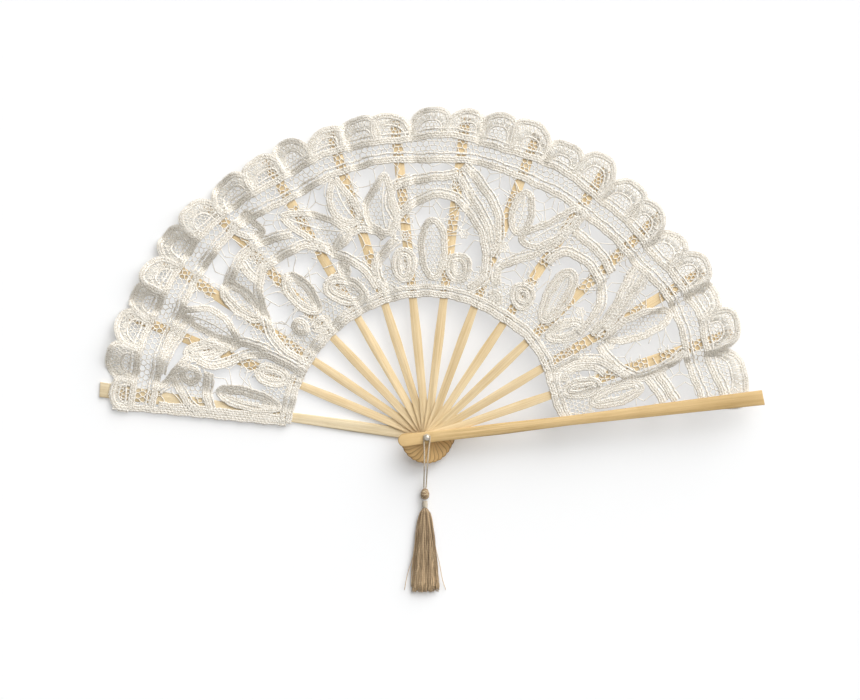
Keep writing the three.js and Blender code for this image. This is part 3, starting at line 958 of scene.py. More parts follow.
def steps_along(line: Array, closed: bool) -> Array:
    """The way from the point before to the point after, at each point of a line.

    Args:
        line: The line's points, one row each.
        closed: Whether it comes back to its start.

    Returns:
        One row for each point.
    """
    along = np.roll(line, -1, axis=0) - np.roll(line, 1, axis=0)
    if not closed:
        along[0], along[-1] = line[1] - line[0], line[-1] - line[-2]
    return along


def sideways(line: Array, closed: bool = False) -> Array:
    """The unit vectors that point to the left of a line, seen from above."""
    return left_of(unit(steps_along(line, closed)))


def run_lengths(line: Array) -> Array:
    """How far along a line each of its points lies."""
    return np.concatenate([[0], np.cumsum(np.linalg.norm(np.diff(line, axis=0), axis=1))])


def hoops(line: Array, along: Array, guide: Array, turns: Array, radii: object) -> Array:
    """The corners of the rings round a line in space, ring after ring.

    Args:
        line: The line's points, in mm.
        along: Its direction at each point, one long.
        guide: The direction that each ring's turn is counted from.
        turns: Where each corner of a ring lies, in radians.
        radii: The distance of the corners from the line, in mm.

    Returns:
        One row for each corner.
    """
    side = unit(np.cross(along, guide))
    up = np.cross(side, along)
    ring = side[:, None] * np.cos(turns)[:, None] + up[:, None] * np.sin(turns)[:, None]
    return (line[:, None] + ring * radii).reshape(-1, 3)


def drawn_curve(points: Array, step: float, closed: bool = False) -> Array:
    """Draws a smooth line through the points, with even steps.

    Args:
        points: The points to pass through, one row each, in mm.
        step: The distance from one point of the line to the next, in mm.
        closed: Whether the line comes back to its first point.

    Returns:
        The line's points. A closed line doesn't repeat its first one.
    """
    points = np.asarray(points, float)
    if closed:
        padded = np.vstack([points[-1], points, points[0], points[1]])
    else:
        padded = np.vstack([2 * points[0] - points[1], points, 2 * points[-1] - points[-2]])
    fine = []
    samples = 12
    shares = np.linspace(0, 1, samples, endpoint=False)[:, None]
    for before, start, end, after in zip(padded, padded[1:], padded[2:], padded[3:]):
        linear = (end - before) * shares / 2
        square = (2 * before - 5 * start + 4 * end - after) * shares**2 / 2
        cube = (3 * start - before - 3 * end + after) * shares**3 / 2
        fine.append(start + linear + square + cube)
    line = np.vstack(fine + [points[:1] if closed else points[-1:]])
    lengths = run_lengths(line)
    count = max(int(round(lengths[-1] / step)), 3)
    wanted = np.linspace(0, lengths[-1], count + 1)
    even = np.column_stack([np.interp(wanted, lengths, line[:, i]) for i in range(line.shape[1])])
    return even[:-1] if closed else even


@dataclass
class MeshStore:
    """Collects quads of many strands until they become one mesh."""

    corners: list[Array] = field(default_factory=list)
    faces: list[Array] = field(default_factory=list)
    charts: list[Array] = field(default_factory=list)
    shades: list[Array] = field(default_factory=list)
    count: int = 0

    def add(self, corners: Array, faces: Array, chart: Array, shade: float) -> None:
        """Takes in one strand or one set of strands.

        Args:
            corners: The places of its corners, in mm.
            faces: Its quads, as numbers of its own corners.
            chart: The UV place of each quad's four corners.
            shade: The strand's own tone, 0 to 1.
        """
        self.corners.append(corners)
        self.faces.append(faces + self.count)
        self.charts.append(chart)
        self.shades.append(np.full(len(corners), shade))
        self.count += len(corners)

    def sweep(
        self, corners: Array, across: Array, along: Array, closed: bool, shade: float
    ) -> None:
        """Takes in one strand, given ring by ring.

        Args:
            corners: The places of its corners, in mm.
            across: Where each corner of a ring lies across the strand.
            along: How far along the strand each ring lies, in mm.
            closed: Whether the last ring joins the first one.
            shade: The strand's own tone, 0 to 1.
        """
        faces = quads_along(len(along), len(across), closed)
        self.add(corners, faces, swept_chart(across, along, faces), shade)

    def piece(self, name: str, finish: Finish) -> Piece:
        """Makes the piece.

        Args:
            name: Its name in the scene.
            finish: The finish that it wears.

        Returns:
            The piece, smooth shaded, with its chart and shades.
        """
        mesh = bpy.data.meshes.new(name)
        corners = np.vstack(self.corners) * MM
        faces = np.vstack(self.faces)
        mesh.vertices.add(len(corners))
        mesh.vertices.foreach_set("co", corners.ravel())
        mesh.loops.add(faces.size)
        mesh.loops.foreach_set("vertex_index", faces.ravel())
        mesh.polygons.add(len(faces))
        mesh.polygons.foreach_set("loop_start", np.arange(0, faces.size, 4))
        mesh.polygons.foreach_set("use_smooth", np.ones(len(faces), bool))
        chart = mesh.uv_layers.new(name="chart")
        chart.data.foreach_set("uv", np.concatenate(self.charts).ravel())
        shade = mesh.attributes.new("shade", "FLOAT", "POINT")
        shade.data.foreach_set("value", np.concatenate(self.shades))
        mesh.update(calc_edges=True)
        mesh.materials.append(finish.material())
        piece = bpy.data.objects.new(name, mesh)
        bpy.context.scene.collection.objects.link(piece)
        return piece


def quads_along(steps: int, around: int, closed: bool) -> Array:
    """The quads of a strand whose rings lie one after another.

    Args:
        steps: How many rings the strand has.
        around: How many corners each ring has.
        closed: Whether the last ring joins the first one. An open strand gets end caps.

    Returns:
        The quads, facing outwards, as corner numbers.
    """
    rings = np.arange(steps if closed else steps - 1)[:, None]
    corner = np.arange(around)[None, :]
    here, there = rings * around, (rings + 1) % steps * around
    turn = (corner + 1) % around
    sides = np.stack([here + corner, here + turn, there + turn, there + corner], axis=-1)
    sides = sides.reshape(-1, 4)
    if closed:
        return sides
    first = np.arange(around // 2 - 1)
    cap = np.column_stack([first, first + 1, around - 2 - first, around - 1 - first])
    last = cap + (steps - 1) * around
    return np.vstack([sides, cap[:, ::-1], last])


def swept_chart(across: Array, along: Array, faces: Array) -> Array:
    """The UV place of each quad's corners: across the strand, and along it in mm."""
    around = len(across)
    return np.stack([across[faces % around], along[faces // around]], axis=-1)


class LaceLoom:
    """Lays strands on the pleated leaf and shares them out among its gaps."""

    def __init__(self, layout: FanLayout) -> None:
        """Starts with empty stores.

        Args:
            layout: Where the ribs and the pleats lie.
        """
        self.layout = layout
        self.stores = [MeshStore() for _ in range(layout.gap_count)]
        self.cloth_area = [0.0] * layout.gap_count

    def lay(self, line: Array, strand: Strand, closed: bool = False) -> None:
        """Lays one strand along a line, cut where it crosses a rib.

        Args:
            line: The strand's line seen from above, in mm.
            strand: What is laid.
            closed: Whether the line comes back to its start.
        """
        angles = np.degrees(np.arctan2(line[:, 1], line[:, 0]))
        gaps = self.layout.gap_at(angles)
        if closed and len(set(gaps)) == 1:
            self.sweep(line, strand, int(gaps[0]), True)
            return
        if closed:
            line = np.vstack([line, line[:1]])
            gaps = np.append(gaps, gaps[0])
        start = 0
        for index in range(1, len(line)):
            if gaps[index] == gaps[index - 1] and index < len(line) - 1:
                continue
            self.sweep(line[start : index + 1], strand, int(gaps[start]), False)
            start = index

    def sweep(self, line: Array, strand: Strand, gap: int, closed: bool) -> None:
        """Builds one run of strand inside one gap.

        Args:
            line: The run's line seen from above, in mm.
            strand: What is laid.
            gap: The gap that it belongs to.
            closed: Whether the run comes back to its start.
        """
        shape = strand.section.loop
        offsets = shape[:, 0] * strand.width / 2
        places = line[:, None, :] + sideways(line, closed)[:, None, :] * offsets[:, None]
        flat = places.reshape(-1, 2)
        rise = np.tile(shape[:, 1] * strand.thickness, len(line))
        corners = np.column_stack([flat, self.layout.height(flat) + rise + strand.lift])
        lengths = run_lengths(line)
        across = (shape[:, 0] + 1) / 2 * strand.section.cords
        self.stores[gap].sweep(corners, across, lengths, closed, PLAIN_SHADE)
        back = float(np.linalg.norm(line[0] - line[-1])) if closed else 0
        self.cloth_area[gap] += (float(lengths[-1]) + back) * strand.width

    def tie(self, starts: Array, ends: Array, width: float, thickness: float) -> None:
        """Lays many short straight threads at once.

        Args:
            starts: The beginning of each thread seen from above, in mm.
            ends: Its end.
            width: The threads' width, in mm.
            thickness: Their thickness, in mm.
        """
        if len(starts) == 0:
            return
        lengths = np.maximum(np.linalg.norm(ends - starts, axis=1, keepdims=True), TINY)
        along = (ends - starts) / lengths
        shape = Section.THREAD.loop
        half = width / 2
        centre = (starts + ends) / 2
        gaps = self.layout.gap_at(np.degrees(np.arctan2(centre[:, 1], centre[:, 0])))
        reach = np.stack([starts - along * half, ends + along * half], axis=1)
        spread = left_of(along)[:, None, None, :] * (shape[:, 0] * half)[:, None]
        places = reach[:, :, None, :] + spread
        up = np.tile(shape[:, 1] * thickness, 2)
        lift = (self.layout.leaf_thickness - thickness) / 2
        one = quads_along(2, len(shape), False)
        base = swept_chart((shape[:, 0] + 1) / 2, np.array([0.0, 1.0]), one)
        for gap in range(self.layout.gap_count):
            chosen = places[gaps == gap]
            if len(chosen) == 0:
                continue
            flat = chosen.reshape(-1, 2)
            heights = self.layout.height(flat) + np.tile(up, len(chosen)) + lift
            offsets = np.arange(len(chosen))[:, None, None] * len(up)
            faces = (one[None] + offsets).reshape(-1, 4)
            chart = np.tile(base[None], (len(chosen), 1, 1, 1))
            chart[..., 1] *= lengths[gaps == gap, 0][:, None, None]
            corners = np.column_stack([flat, heights])
            self.stores[gap].add(corners, faces, chart.reshape(-1, 4, 2), PLAIN_SHADE)


# The lace's pattern


class Filling(Enum):
    """What fills the middle of a motif."""

    WHEEL = "a small ring on spokes"
    NET = "fine six-sided net"
    SPOKES = "threads from the ring to the middle line"


@dataclass(frozen=True)
class Motif:
    """A ring of tape from its foot to its tip, in photo pixels, with smaller rings inside."""

    foot: Pixel
    tip: Pixel
    half_width: float
    filling: Filling = Filling.WHEEL
    rings: int = 2
    point: float = 0.0


@dataclass(frozen=True)
class LacePattern:
    """The tape lace's design.

    The rim and the rings go round the pivot, in degrees and mm. The arches, petals and motifs
    were read off the photograph, in its pixels, each at the middle of its tape. The sizes that
    follow them are in mm, and the shares are of what they are named for.
    """

    base_edge: tuple[Polar, ...] = (
        (174.6, 89.4), (170, 88.6), (160, 88.8), (150, 88.9), (140, 89.3), (130, 89.7),
        (120, 90), (110, 90.4), (100, 90.9), (90, 90.9), (80, 90.6), (70, 89.8), (60, 89),
        (50, 89.2), (44, 89.4), (35, 88.2), (30, 87), (25, 85.6), (20, 84.8), (15, 84.5),
        (10, 86), (6.8, 88),
    )
    lower_ring: tuple[Polar, ...] = (
        (174.6, 176), (168, 175.8), (160, 175.6), (150, 176), (145, 178), (135, 179.4),
        (130, 178.8), (125, 176.4), (120, 174.6), (115, 175), (110, 176.8), (105, 176.8),
        (100, 177.4), (95, 176.6), (90, 175.6), (85, 176.4), (80, 177.4), (75, 175.8),
        (70, 175), (65, 174.4), (60, 174.2), (55, 172.8), (50, 172.4), (45, 172.4),
        (40, 172), (35, 173.8), (32, 175.4), (28, 176), (22, 174.2), (18, 172), (13, 172.4),
        (10, 174.4), (6.8, 176),
    )
    upper_ring: tuple[Polar, ...] = (
        (174.6, 189.4), (168, 190), (160, 190.6), (150, 190.2), (145, 191), (140, 192),
        (135, 191.6), (130, 191.2), (125, 189.6), (120, 188.4), (115, 189), (110, 190.8),
        (105, 190.2), (100, 189.6), (95, 189), (90, 190.8), (85, 192), (80, 190.2),
        (75, 188.4), (70, 189), (65, 189.4), (60, 187.8), (55, 186), (50, 185.8),
        (45, 185.2), (42, 184.6), (38, 184), (34, 185.8), (28, 187.6), (24, 188.6),
        (20, 186), (14, 184.8), (10, 188), (6.8, 189.8),
    )
    scallops: tuple[Polar, ...] = (
        (172, 205), (166.3, 211), (160, 211), (154.4, 209.8), (148.5, 210.5), (142.5, 211.6),
        (136.3, 211), (128.8, 209.2), (121.5, 208.6), (115.6, 210.4), (109.4, 207.2),
        (102.8, 208), (96.4, 207.8), (89.6, 210.4), (83, 211), (77.2, 212.4), (70, 211),
        (64, 207.2), (57.2, 211), (51, 209.2), (44.4, 207.8), (38.4, 204.6), (32, 209.8),
        (26, 205.8), (20, 210.4), (13.6, 206),
    )
    side_edges: tuple[tuple[Polar, ...], ...] = (
        ((174.4, 90), (174.4, 130), (174.4, 170), (174.4, 201)),
        ((172.8, 92), (173, 130), (173.2, 172)),
    )
    arches: tuple[tuple[Pixel, ...], ...] = (
        ((392, 237), (395, 225), (400, 215), (410, 207), (420, 201), (430, 197), (440, 195),
         (450, 197), (460, 203), (468, 212), (475, 222), (481, 233), (484, 245), (485, 256),
         (485, 267), (482, 277), (477, 283), (467, 288)),
        ((398, 219), (392, 207), (391, 196), (396, 187), (410, 182), (430, 179), (450, 177),
         (458, 175)),
        ((458, 176), (465, 188), (473, 202), (481, 215), (487, 229), (490, 243)),
        ((463, 166), (473, 175), (480, 185), (487, 195), (493, 205), (497, 216), (498, 230),
         (496, 244), (490, 256)),
        ((308, 363), (294, 356), (281, 346), (272, 333), (267, 318), (262, 304), (260, 290),
         (261, 278), (265, 268), (273, 262), (285, 255), (295, 250), (305, 246), (315, 247),
         (325, 250), (336, 255), (347, 260), (357, 265), (365, 272), (372, 280), (376, 288)),
        ((229, 283), (234, 275), (237, 267), (242, 258), (250, 250), (260, 244), (270, 240),
         (282, 237), (292, 234)),
        ((337, 248), (343, 240), (352, 233), (360, 230), (370, 230), (378, 233), (384, 239)),
        ((498, 286), (497, 277), (500, 268), (510, 263), (520, 260), (530, 257), (540, 252),
         (550, 247), (558, 242), (567, 233), (575, 225), (584, 216)),
        ((572, 233), (580, 237), (588, 245), (597, 253), (604, 262), (610, 274)),
        ((548, 264), (555, 257), (565, 253), (575, 257), (585, 263), (593, 272), (598, 282),
         (600, 296), (596, 310), (588, 322), (577, 333)),
        ((637, 264), (630, 274), (623, 287), (617, 300), (609, 313), (600, 324), (590, 334)),
        ((647, 271), (639, 281), (630, 294), (622, 306), (614, 318), (604, 330)),
        ((598, 346), (605, 357), (612, 364), (621, 371), (633, 377), (643, 378), (653, 374),
         (662, 369), (674, 361), (684, 352)),
        ((555, 383), (558, 371), (570, 363), (587, 360), (603, 363), (615, 371), (627, 378)),
        ((563, 382), (567, 373), (580, 367), (594, 368), (604, 374)),
        ((644, 377), (654, 389), (663, 403)),
        ((655, 372), (664, 385), (674, 401)),
        ((197, 361), (208, 366), (223, 365), (240, 358), (257, 355), (270, 357), (287, 365),
         (304, 376)),
        ((397, 238), (387, 247), (378, 258), (375, 268), (376, 277), (382, 286), (393, 293)),
        ((171, 376), (176, 386), (181, 395), (187, 404), (196, 413)),
        ((208, 372), (205, 386), (205, 397), (209, 412)),
        ((188, 315), (179, 331), (170, 346), (163, 360), (158, 374)),
        ((239, 263), (247, 273), (257, 283)),
        ((188, 356), (177, 368), (168, 379), (156, 389)),
        ((229, 350), (240, 344), (254, 346), (268, 352)),
    )
    petals: tuple[tuple[Pixel, ...], ...] = (
        ((385, 175), (378, 184), (370, 195), (365, 209), (368, 221), (377, 229), (387, 233),
         (395, 227), (397, 215), (394, 203), (390, 190)),
        ((334, 180), (330, 190), (330, 201), (332, 211), (339, 218), (348, 223), (357, 221),
         (359, 214), (355, 205), (349, 196), (342, 187)),
        ((282, 217), (291, 214), (305, 213), (320, 216), (332, 221), (341, 226), (349, 232),
         (345, 243), (334, 248), (322, 245), (305, 236), (292, 227)),
        ((525, 193), (518, 199), (513, 210), (511, 223), (516, 232), (525, 230), (530, 220),
         (532, 208), (531, 197)),
        ((584, 214), (573, 210), (563, 215), (553, 221), (541, 227), (530, 230), (522, 235),
         (524, 244), (536, 247), (550, 242), (562, 235), (574, 226)),
        ((181, 313), (193, 309), (209, 309), (222, 316), (231, 327), (236, 340), (224, 339),
         (208, 333), (193, 324)),
        ((246, 213), (254, 222), (262, 231), (252, 236), (240, 234), (232, 229), (238, 220)),
    )
    ovals: tuple[Motif, ...] = (
        Motif((433, 281), (433, 217), 15, Filling.NET, 1),
        Motif((319, 314), (284, 274), 14, Filling.NET),
        Motif((541, 324), (573, 269), 14, Filling.SPOKES),
        Motif((281, 408), (215, 391), 12, Filling.NET),
        Motif((588, 403), (643, 385), 12, Filling.NET),
        Motif((603, 340), (673, 312), 14, Filling.NET, 1, 0.25),
        Motif((230, 345), (182, 355), 11, Filling.WHEEL),
    )
    rosettes: tuple[Motif, ...] = (
        Motif((404, 283), (404, 247), 13), Motif((459, 284), (458, 252), 14),
        Motif((369, 298), (323, 283), 15), Motif((263, 321), (221, 283), 14, Filling.NET),
        Motif((522, 311), (522, 282), 13), Motif((545, 338), (585, 324), 12),
        Motif((560, 392), (601, 384), 11), Motif((290, 381), (254, 370), 12),
        Motif((190, 386), (190, 364), 11, Filling.NET, 1),
        Motif((349, 276), (338, 262), 7, Filling.NET, 1),
        Motif((500, 306), (491, 290), 7, Filling.NET, 1),
        Motif((309, 332), (292, 322), 9, Filling.NET, 1),
        Motif((330, 318), (311, 330), 8, Filling.NET, 1),
    )
    net_bands: tuple[tuple[int, slice, int, slice], ...] = (
        (0, slice(2, 9), 1, slice(3, 8)),
        (2, slice(0, 6), 3, slice(0, 7)),
        (4, slice(6, 14), 5, slice(0, 9)),
        (8, slice(0, 6), 9, slice(2, 8)),
        (10, slice(0, 5), 11, slice(0, 5)),
        (13, slice(0, 7), 14, slice(0, 5)),
    )
    net_patches: tuple[tuple[Pixel, ...], ...] = (
        ((196, 362), (206, 370), (206, 386), (212, 404), (202, 408), (190, 394), (180, 386)),
        ((238, 262), (256, 250), (268, 262), (264, 284), (250, 280)),
        ((246, 318), (262, 322), (272, 340), (282, 352), (266, 350), (252, 338)),
        ((486, 262), (500, 268), (498, 286), (484, 286)),
        ((366, 268), (376, 274), (384, 288), (398, 296), (384, 297), (370, 284)),
        ((607, 330), (620, 322), (604, 352), (596, 344)),
    )
    spiders: tuple[Pixel, ...] = (
        (405, 235), (464, 234), (503, 248), (580, 312), (217, 352), (609, 345),
    )
    tape_width: float = 4.4
    ring_tape_width: float = 3
    scallop_tape_width: float = 3.4
    wide: float = 3.6
    tape_thickness: float = 0.6
    tape_gap: float = 0.5
    level_step: float = 0.07
    levels: int = 4
    inner_ring_share: float = 0.9
    stitch_pitch: float = 2.4
    stitch_width: float = 0.5
    stitch_level: float = 0.62
    stitch_reach: Range = (0.6, 0.95)
    ring_cord: Strand = Strand(Section.CORD, 1.5, 0.6, 0.05)
    companion_cord: Strand = Strand(Section.CORD, 1.5, 0.6, 0.03)
    companion_gap: float = 1.5
    scallop_vein: Strand = Strand(Section.CORD, 1.5, 0.55, 0.05)
    fine_cord: Strand = Strand(Section.CORD, 0.8, 0.5, 0.05)
    petal_vein: Strand = Strand(Section.CORD, 1.1, 0.5, 0.05)
    spider_rim: Strand = Strand(Section.CORD, 0.9, 0.5, 0.05)
    picot: Strand = Strand(Section.THREAD, 0.5, 0.45, 0.1)
    bride: Strand = Strand(Section.THREAD, 0.6, 0.45, 0.1)
    thread_thickness: float = 0.4
    ladder_width: float = 0.4
    spoke_width: float = 0.45
    close_spoke_width: float = 0.42
    companion_pitch: float = 1.3
    scallop_pitch: float = 1.7
    motif_pitch: float = 1.2
    scallop_foot: float = 1.2
    scallop_lean: Range = (-0.4, 0.4)
    scallop_reach: Range = (-1.6, 0.6)
    scallop_roundness: Range = (0.5, 0.8)
    scallop_bulge: float = 0.8
    scallop_overlap: float = 1.06
    vein_size: Range = (0.5, 0.66)
    picot_step: float = 0.35
    picot_pitch: float = 1.3
    picot_foot: float = 1.3
    picot_reach: float = 0.9
    spider_radius: float = 2.6
    spider_lobe: float = 0.55
    spider_lobes: int = 6
    spider_core: float = 0.9
    bride_start: float = 1.2
    bride_step: float = 0.6
    bride_end: float = 1.3
    bride_bow: Range = (-0.06, 0.06)
    spider_bride: float = 11
    forked_bride: float = 14
    fork_arms: int = 3
    fork_radii: Range = (94, 176)
    fork_angles: Range = (9, 173)
    fork_rows: float = 6.5
    fork_pitch: float = 7.5
    fork_room: float = 2.9
    fork_aside: Range = (-0.3, 0.3)
    fork_outward: Range = (-2, 2)
    base_band: float = 20
    strip_start: Range = (104, 112)
    strip_end: float = 174
    strip_overshoot: float = 4
    strip_half_width: float = 5.6
    strip_length: Range = (7, 17)
    strip_window: Range = (7, 16)
    strip_slant: Range = (-1.8, 1.8)
    net_width: float = 0.7
    fine_width: float = 0.6
    net_cell: float = 2.0
    fine_cell: float = 1.6
    petal_cell: float = 1.76
    filling_cell: float = 1.8
    scallop_cell: float = 1.5
    net_flatness: float = 0.6
    net_unevenness: float = 0.25


PIVOT_IN_PHOTO = (427, 437)
MM_PER_PIXEL = 0.634


def from_photo(points: tuple[Pixel, ...]) -> Array:
    """The places, in mm from the pivot, of points in the photo, which looks straight down."""
    across, down = np.array(points, float).T
    return np.column_stack([across - PIVOT_IN_PHOTO[0], PIVOT_IN_PHOTO[1] - down]) * MM_PER_PIXEL


def round_pivot(points: tuple[Polar, ...]) -> Array:
    """The places seen from above of points given round the pivot, in mm."""
    return np.array([plane_point(angle, radius) for angle, radius in points])


def inside(points: Array, outline: Array) -> Array:
    """Tells which points lie within a closed outline.

    Args:
        points: The points, one row each.
        outline: The outline's corners in order.

    Returns:
        True or False for each point.
    """
    x, y = points[:, 0][:, None], points[:, 1][:, None]
    x0, y0 = outline[:, 0][None], outline[:, 1][None]
    x1, y1 = np.roll(outline[:, 0], -1)[None], np.roll(outline[:, 1], -1)[None]
    spans = (y0 > y) != (y1 > y)
    rise = np.where(np.abs(y1 - y0) < TINY, TINY, y1 - y0)
    crossing = x0 + (y - y0) / rise * (x1 - x0)
    return (np.count_nonzero(spans & (x < crossing), axis=1) % 2) == 1


class LaceLeaf:
    """The pleated leaf: tape lace with net and needle fillings, one panel for each gap."""

    STEP = 0.8
    THREAD_STEP = 1.2
    SEED = 7
    LEAST_COVER = 0.3

    def __init__(self, layout: FanLayout, pattern: LacePattern) -> None:
        """Prepares the two looms.

        Args:
            layout: Where the ribs and pleats lie.
            pattern: The lace's design.
        """
        self.layout = layout
        self.pattern = pattern
        self.tapes = LaceLoom(layout)
        self.net = LaceLoom(layout)
        self.chance = np.random.default_rng(self.SEED)
        self.lines: list[Array] = []
        self.filled: list[Array] = []
        self.near: KDTree | None = None

    def round_line(self, points: tuple[Polar, ...]) -> Array:
        """A smooth line through places given round the pivot."""
        return drawn_curve(round_pivot(points), self.STEP)

    @staticmethod
    def outwards(points: tuple[Polar, ...], distance: float) -> list[Polar]:
        """Places given round the pivot, moved away from it by a distance in mm."""
        return [(angle, radius + distance) for angle, radius in points]

    def tape(self, line: Array, width: float, closed: bool = False) -> Array:
        """Lays a tape, a little above or below its neighbours.

        Args:
            line: The tape's line seen from above.
            width: Its width, in mm.
            closed: Whether it comes back to its start.

        Returns:
            The line as it was laid by hand.
        """
        pattern = self.pattern
        wobble = self.hand_wobble(line, closed)
        lift = pattern.level_step * (len(self.lines) % pattern.levels)
        section = Section.TAPE if width > pattern.wide else Section.NARROW_TAPE
        self.tapes.lay(wobble, Strand(section, width, pattern.tape_thickness, lift), closed)
        self.lines.append(wobble)
        self.stitches(wobble, width, lift, closed)
        return wobble

    def stitches(self, line: Array, width: float, lift: float, closed: bool) -> None:
        """Lays the zigzag thread that gathers a tape, from edge to edge over its cords.

        Args:
            line: The tape's line.
            width: The tape's width, in mm.
            lift: How far the tape lies above the leaf's lower face, in mm.
            closed: Whether it comes back to its start.
        """
        pattern = self.pattern
        zigzag = np.array([0, 1, 0, -1])
        turns = len(zigzag)
        fine = drawn_curve(line[::2], pattern.stitch_pitch / turns, closed)
        if closed:
            fine = fine[: len(fine) // turns * turns]
        swing = zigzag[np.arange(len(fine)) % turns]
        uneven = self.chance.uniform(*pattern.stitch_reach, len(fine))
        sewn = fine + sideways(fine, closed) * (swing * uneven * width / 2)[:, None]
        up = lift + pattern.tape_thickness * pattern.stitch_level
        thread = Strand(Section.THREAD, pattern.stitch_width, pattern.thread_thickness, up)
        self.net.lay(sewn, thread, closed)

    def companion(self, line: Array) -> None:
        """Lays a cord beside a tape and laces the two together.

        Args:
            line: The tape's line.
        """
        pattern = self.pattern
        beside = line + sideways(line) * (pattern.tape_width / 2 + pattern.companion_gap)
        self.tapes.lay(beside, pattern.companion_cord)
        self.ladder(line, beside, pattern.companion_pitch, False)

    def hand_wobble(self, line: Array, closed: bool) -> Array:
        """Moves a line sideways by a fraction of a millimetre, as by hand.

        Args:
            line: The line seen from above.
            closed: Whether it comes back to its start.

        Returns:
            The moved line.
        """
        wave_length, quickness, slow_sway, quick_sway = 14, 2.7, 0.22, 0.12
        count = len(line)
        phase = self.chance.uniform(0, math.tau, 2)
        waves = max(count * self.STEP / wave_length, 1)
        turn = np.linspace(0, math.tau, count, endpoint=not closed)
        slow = np.sin(turn * round(waves) + phase[0])
        quick = np.sin(turn * round(waves * quickness) + phase[1])
        return line + sideways(line, closed) * (slow_sway * slow + quick_sway * quick)[:, None]

    def edges_and_rings(self) -> None:
        """Lays the base edge, the two concentric rings and the net between them."""
        pattern = self.pattern
        beside = pattern.tape_width / 2 + pattern.tape_gap + pattern.ring_tape_width / 2
        self.tape(self.round_line(pattern.base_edge), pattern.tape_width)
        second = self.outwards(pattern.base_edge, beside)
        self.tape(self.round_line(second), pattern.ring_tape_width)
        for ring in (pattern.lower_ring, pattern.upper_ring):
            self.tape(self.round_line(ring), pattern.tape_width)
            outer = self.round_line(self.outwards(ring, beside))
            self.tapes.lay(self.hand_wobble(outer, False), pattern.ring_cord)
        for edge in pattern.side_edges:
            self.tape(self.round_line(edge), pattern.tape_width)
        self.bent_net(np.array(pattern.lower_ring + pattern.upper_ring[::-1]), pattern.net_cell)
        above = self.outwards(pattern.base_edge, pattern.base_band)
        self.bent_net(np.array([*pattern.base_edge, *above[::-1]]), pattern.fine_cell)

    def scallop_rim(self) -> None:
        """Lays the scallops on the outer ring, from the rear guard to the front one."""
        pattern = self.pattern
        ring = np.array(pattern.upper_ring)[::-1]
        begin, end = pattern.upper_ring[0][0], pattern.upper_ring[-1][0]
        centres = [angle for angle, _ in pattern.scallops]
        for index, (angle, top) in enumerate(pattern.scallops):
            last = index + 1 == len(centres)
            left = (centres[index - 1] - angle) / 2 if index else begin - angle
            right = angle - end if last else (angle - centres[index + 1]) / 2
            foot = float(np.interp(angle, ring[:, 0], ring[:, 1])) + pattern.scallop_foot
            self.scallop(angle, (left, right), foot, top)

    def scallop(self, angle: float, reaches: Range, foot: float, top: float) -> None:
        """Lays one scallop: an arch of tape with picots, a cord inside it, and net.

        Args:
            angle: Its middle, in degrees round the pivot.
            reaches: How far it reaches to the left and to the right, in degrees.
            foot: The radius that it stands on, in mm.
            top: The radius that it rises to, in mm.
        """
        pattern = self.pattern
        lean = self.chance.uniform(*pattern.scallop_lean)
        top += self.chance.uniform(*pattern.scallop_reach)
        roundness = self.chance.uniform(*pattern.scallop_roundness)
        crest = top - pattern.scallop_tape_width / 2 - foot
        arch, points = [], 13
        for share in np.linspace(0, 1, points):
            swing, rise = math.cos(math.pi * share), math.sin(math.pi * share)
            reach = reaches[0] if swing > 0 else reaches[1]
            bulge = math.copysign(abs(swing) ** pattern.scallop_bulge, swing) + lean * rise
            aside = reach * bulge * pattern.scallop_overlap
            arch.append((angle + aside, foot + crest * rise**roundness))
        line = self.tape(self.round_line(arch), pattern.scallop_tape_width)
        self.picots(line)
        low = self.chance.uniform(*pattern.vein_size)
        narrow = self.chance.uniform(*pattern.vein_size)
        small = [(angle + (a - angle) * narrow, foot + (r - foot) * low) for a, r in arch]
        vein = self.round_line(small)
        self.tapes.lay(vein, pattern.scallop_vein)
        self.ladder(line, vein, pattern.scallop_pitch, False)
        self.bent_net(np.array(arch), pattern.scallop_cell)

    def picots(self, line: Array) -> None:
        """Lays a fringe of small thread loops along the outside of an arch.

        Args:
            line: The arch's line, from its left foot to its right one.
        """
        pattern = self.pattern
        guides = 16
        fine = drawn_curve(line[:: max(len(line) // guides, 1)], pattern.picot_step)
        turn = np.arange(len(fine)) * pattern.picot_step * math.pi / pattern.picot_pitch
        out = pattern.picot_foot + pattern.picot_reach * np.abs(np.sin(turn))
        self.net.lay(fine + sideways(fine) * out[:, None], pattern.picot)

    def motif_ring(self, motif: Motif, inset: float) -> Array:
        """The ring of a motif at a distance inside its edge.

        Args:
            motif: The motif.
            inset: The distance in mm.

        Returns:
            The ring's points seen from above.
        """
        corners, egg_share = 26, 0.1
        foot, tip = from_photo((motif.foot, motif.tip))
        centre, axis = (foot + tip) / 2, (tip - foot) / 2
        half_length = float(np.linalg.norm(axis))
        half_width = motif.half_width * MM_PER_PIXEL
        side = np.array([-axis[1], axis[0]]) / half_length
        turn = np.linspace(0, math.tau, corners, endpoint=False)
        along = np.cos(turn) * (half_length - inset) / half_length
        across = np.sin(turn) * np.abs(np.sin(turn)) ** motif.point
        egg = 1 - egg_share * np.cos(turn + math.pi)
        ring = centre + axis * along[:, None]
        ring = ring + side * (across * egg * (half_width - inset))[:, None]
        return drawn_curve(ring, self.STEP, True)

